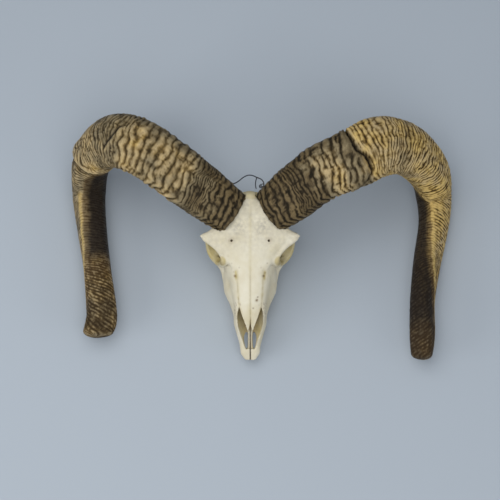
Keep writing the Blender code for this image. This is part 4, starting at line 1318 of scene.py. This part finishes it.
def make_horn_finish():
    mix = Mixer("weathered_horn")
    sheet = mix.add("ShaderNodeUVMap", uv_map="rolled").outputs["UV"]
    lines = mix.cloud(1, 3, 0.65, mix.stretched(sheet, (900, 120, 1)))
    fibres = mix.cloud(1, 3, 0.6, mix.stretched(sheet, (110, 800, 1)))
    blotches = mix.cloud(210, 5, 0.7)
    height = mix.plus(mix.layer("ridge"), mix.spread(blotches, 0.25, 0.75, -0.17, 0.17))
    height = mix.plus(height, mix.spread(lines, 0.3, 0.7, -0.15, 0.15))
    tones = []
    # The tone rises from groove to top: partly the horn's own dark grooves and pale crests, partly
    # painted shade in the grooves and a painted highlight on the crests.
    for top, middle, groove in (DARK_TONE, GREY_TONE, BROWN_TONE, YELLOW_TONE):
        tones.append(mix.ramp(height, (0.06, groove), (0.45, middle), (1.08, top)))
    gold = mix.spread(mix.layer("gold"), 0, 1, -1, 1)
    gold = mix.plus(gold, mix.spread(mix.cloud(60, 5), 0.3, 0.7, -0.3, 0.3))
    colour = mix.blend(mix.spread(gold, -0.45, 0.05), tones[0], tones[1])
    colour = mix.blend(mix.spread(gold, 0.05, 0.55), colour, tones[2])
    colour = mix.blend(mix.spread(gold, 0.55, 1.0), colour, tones[3])
    inner = mix.times(mix.layer("inner"), mix.spread(lines, 0.25, 0.7, 1.0, 0.93))
    # The inner face grows darker away from the keel: partly the horn's own colour, partly painted
    # shade.
    face = mix.ramp(mix.layer("inner"), (0.5, HORN_INNER), (0.95, HORN_DEEP))
    colour = mix.blend(inner, colour, face)
    # The keel line: partly the horn's own pale colour, partly a painted highlight on its edge.
    keel = mix.times(mix.layer("keel"), mix.spread(lines, 0.35, 0.6, 0.2, 0.9))
    colour = mix.blend(keel, colour, YELLOW_TONE[0])
    band = mix.times(mix.layer("band"), mix.spread(lines, 0.3, 0.65, 0.6, 0.2))
    colour = mix.blend(band, colour, GREY_TONE[2])
    spots = mix.spread(mix.cloud(420, 3, 0.6), 0.56, 0.66, 0.0, 0.3)
    colour = mix.blend(spots, colour, DARK_TONE[2])
    # Black in the cracks, and painted shadow in the crease of the left horn.
    colour = mix.blend(mix.layer("crack"), colour, HORN_BLACK)
    relief = mix.plus(mix.times(lines, 1.6), mix.times(blotches, 2.2))
    relief = mix.plus(relief, fibres)
    mix.relief(relief, 0.6)
    return mix.finish(colour, mix.spread(height, 0.1, 0.9, 0.75, 0.42), 0.20)


horn_finish = make_horn_finish()
for name in SIDES:
    grow_horn(name)

# ---- Hanging wire -----------------------------------------------------------------------
# A dark iron wire twisted fast round both horns behind the poll, bowed up into a low loop
# to hang the skull by, with its spare end bent down to the bone and curled.

WIRE_MAIN = (
    (-40, 84, -50), (-31, 82, -46), (-23, 81, -42), (-15.5, 85, -40), (-10.5, 89, -39),
    (-5, 92, -38), (0, 92.8, -38), (5, 91.6, -38), (9.5, 89.5, -38), (15.5, 87, -37),
    (18.5, 83, -34), (19.4, 79, -30), (18, 76, -27),
)
WIRE_DROP = ((9.5, 89.5, -38), (8, 85, -38), (7.4, 80, -38), (7.8, 76, -38), (8.6, 73.5, -39))
WIRE_CURL = (
    (18.4, 80, -30.5), (16.0, 79.5, -29), (13.6, 78.2, -29), (13.4, 75.6, -30), (15.4, 74.4, -31),
    (16.8, 76.0, -31.5), (15.6, 77.6, -31), (14.4, 76.4, -30.2),
)
WIRE_ROUND = (0.75, 0.70, 0.65)
IRON = (0.020, 0.023, 0.032)
IRON_RUST = (0.060, 0.032, 0.020)


def make_iron():
    mix = Mixer("dark_iron_wire")
    rust = mix.spread(mix.cloud(240, 4), 0.5, 0.68)
    colour = mix.blend(rust, IRON, IRON_RUST)
    mix.relief(mix.cloud(1500, 3), 0.06)
    mix.shader.inputs["Metallic"].default_value = 0.6
    return mix.finish(colour, mix.spread(rust, 0.0, 1.0, 0.38, 0.7))


wire = bmesh.new()
for route, radius in zip((WIRE_MAIN, WIRE_DROP, WIRE_CURL), WIRE_ROUND):
    curve = bpy.data.curves.new("strand", "CURVE")
    curve.dimensions = "3D"
    curve.bevel_depth = radius * MM
    curve.bevel_resolution = 3
    curve.use_fill_caps = True
    line = smooth_line(route, 6)
    strand = curve.splines.new("POLY")
    strand.points.add(len(line) - 1)
    for point, place in zip(strand.points, line):
        point.co = (*on_face(*place), 1)
    holder = bpy.data.objects.new("strand", curve)
    bpy.context.scene.collection.objects.link(holder)
    drawn = holder.evaluated_get(bpy.context.evaluated_depsgraph_get())
    wire.from_mesh(bpy.data.meshes.new_from_object(drawn))
    bpy.data.objects.remove(holder)
bmesh.ops.remove_doubles(wire, verts=wire.verts, dist=0.00001)
bmesh.ops.recalc_face_normals(wire, faces=wire.faces)
hanger = new_piece("hanging_wire_loop", wire)
fasten(hanger, make_iron(), "wire", "hanging_wire")

# ---- Floor, light and camera ------------------------------------------------------------
# The skull lies on a plain pale floor under four large soft boxes, the strongest on the
# left. The camera looks square on to the face, from so far off that the view hardly widens.

PIXEL = 1.4
PICTURE = 500
CAMERA_FAR = 3200.0
CAMERA_AIM = (-0.3, -13.3, 0.0)
SENSOR = 36
FLOOR_PALE = (0.415, 0.465, 0.525)
ROOM_COLOUR, ROOM_STRENGTH = (0.80, 0.86, 0.94, 1), 0.36
LAMP_COLOUR = (1.0, 0.985, 0.955)
# Soft boxes: name, place, size and strength.
LAMPS = (
    ("upper_box", (-0.4, 0.05, 1.7), 1.5, 11.5),
    ("front_box", (0.1, -1.0, 1.8), 1.5, 12.3),
    ("left_box", (-1.9, -0.9, 0.8), 1.2, 18),
    ("right_box", (1.9, -1.1, 0.7), 1.5, 10),
)

ground = bmesh.new()
bmesh.ops.create_grid(ground, x_segments=1, y_segments=1, size=8)
floor = new_piece("floor", ground)
paper = Mixer("pale_paper")
tone = paper.blend(paper.cloud(2, 2), FLOOR_PALE, [0.97 * c for c in FLOOR_PALE])
floor.data.materials.append(paper.finish(tone, 0.9, 0.1))

lens = bpy.data.cameras.new("camera")
lens.sensor_width = SENSOR
lens.lens = SENSOR * CAMERA_FAR / (PIXEL * PICTURE)
lens.clip_start, lens.clip_end = 0.05, 50
camera = bpy.data.objects.new("camera", lens)
look = Vector((0, -sin(FACE_TILT), cos(FACE_TILT)))
camera.location = on_face(*CAMERA_AIM) + look * (CAMERA_FAR * MM)
camera.rotation_euler = (-look).to_track_quat("-Z", "Y").to_euler()
bpy.context.scene.collection.objects.link(camera)
bpy.context.scene.camera = camera

world = bpy.data.worlds.new("soft_room")
world.use_nodes = True
world.node_tree.nodes["Background"].inputs["Color"].default_value = ROOM_COLOUR
world.node_tree.nodes["Background"].inputs["Strength"].default_value = ROOM_STRENGTH
bpy.context.scene.world = world

for name, place, size, strength in LAMPS:
    lamp = bpy.data.lights.new(name, "AREA")
    lamp.size = size
    lamp.energy = strength
    lamp.color = LAMP_COLOUR
    holder = bpy.data.objects.new(name, lamp)
    holder.location = place
    holder.rotation_euler = (-Vector(place)).to_track_quat("-Z", "Y").to_euler()
    bpy.context.scene.collection.objects.link(holder)

bpy.context.scene.view_settings.view_transform = "Standard"
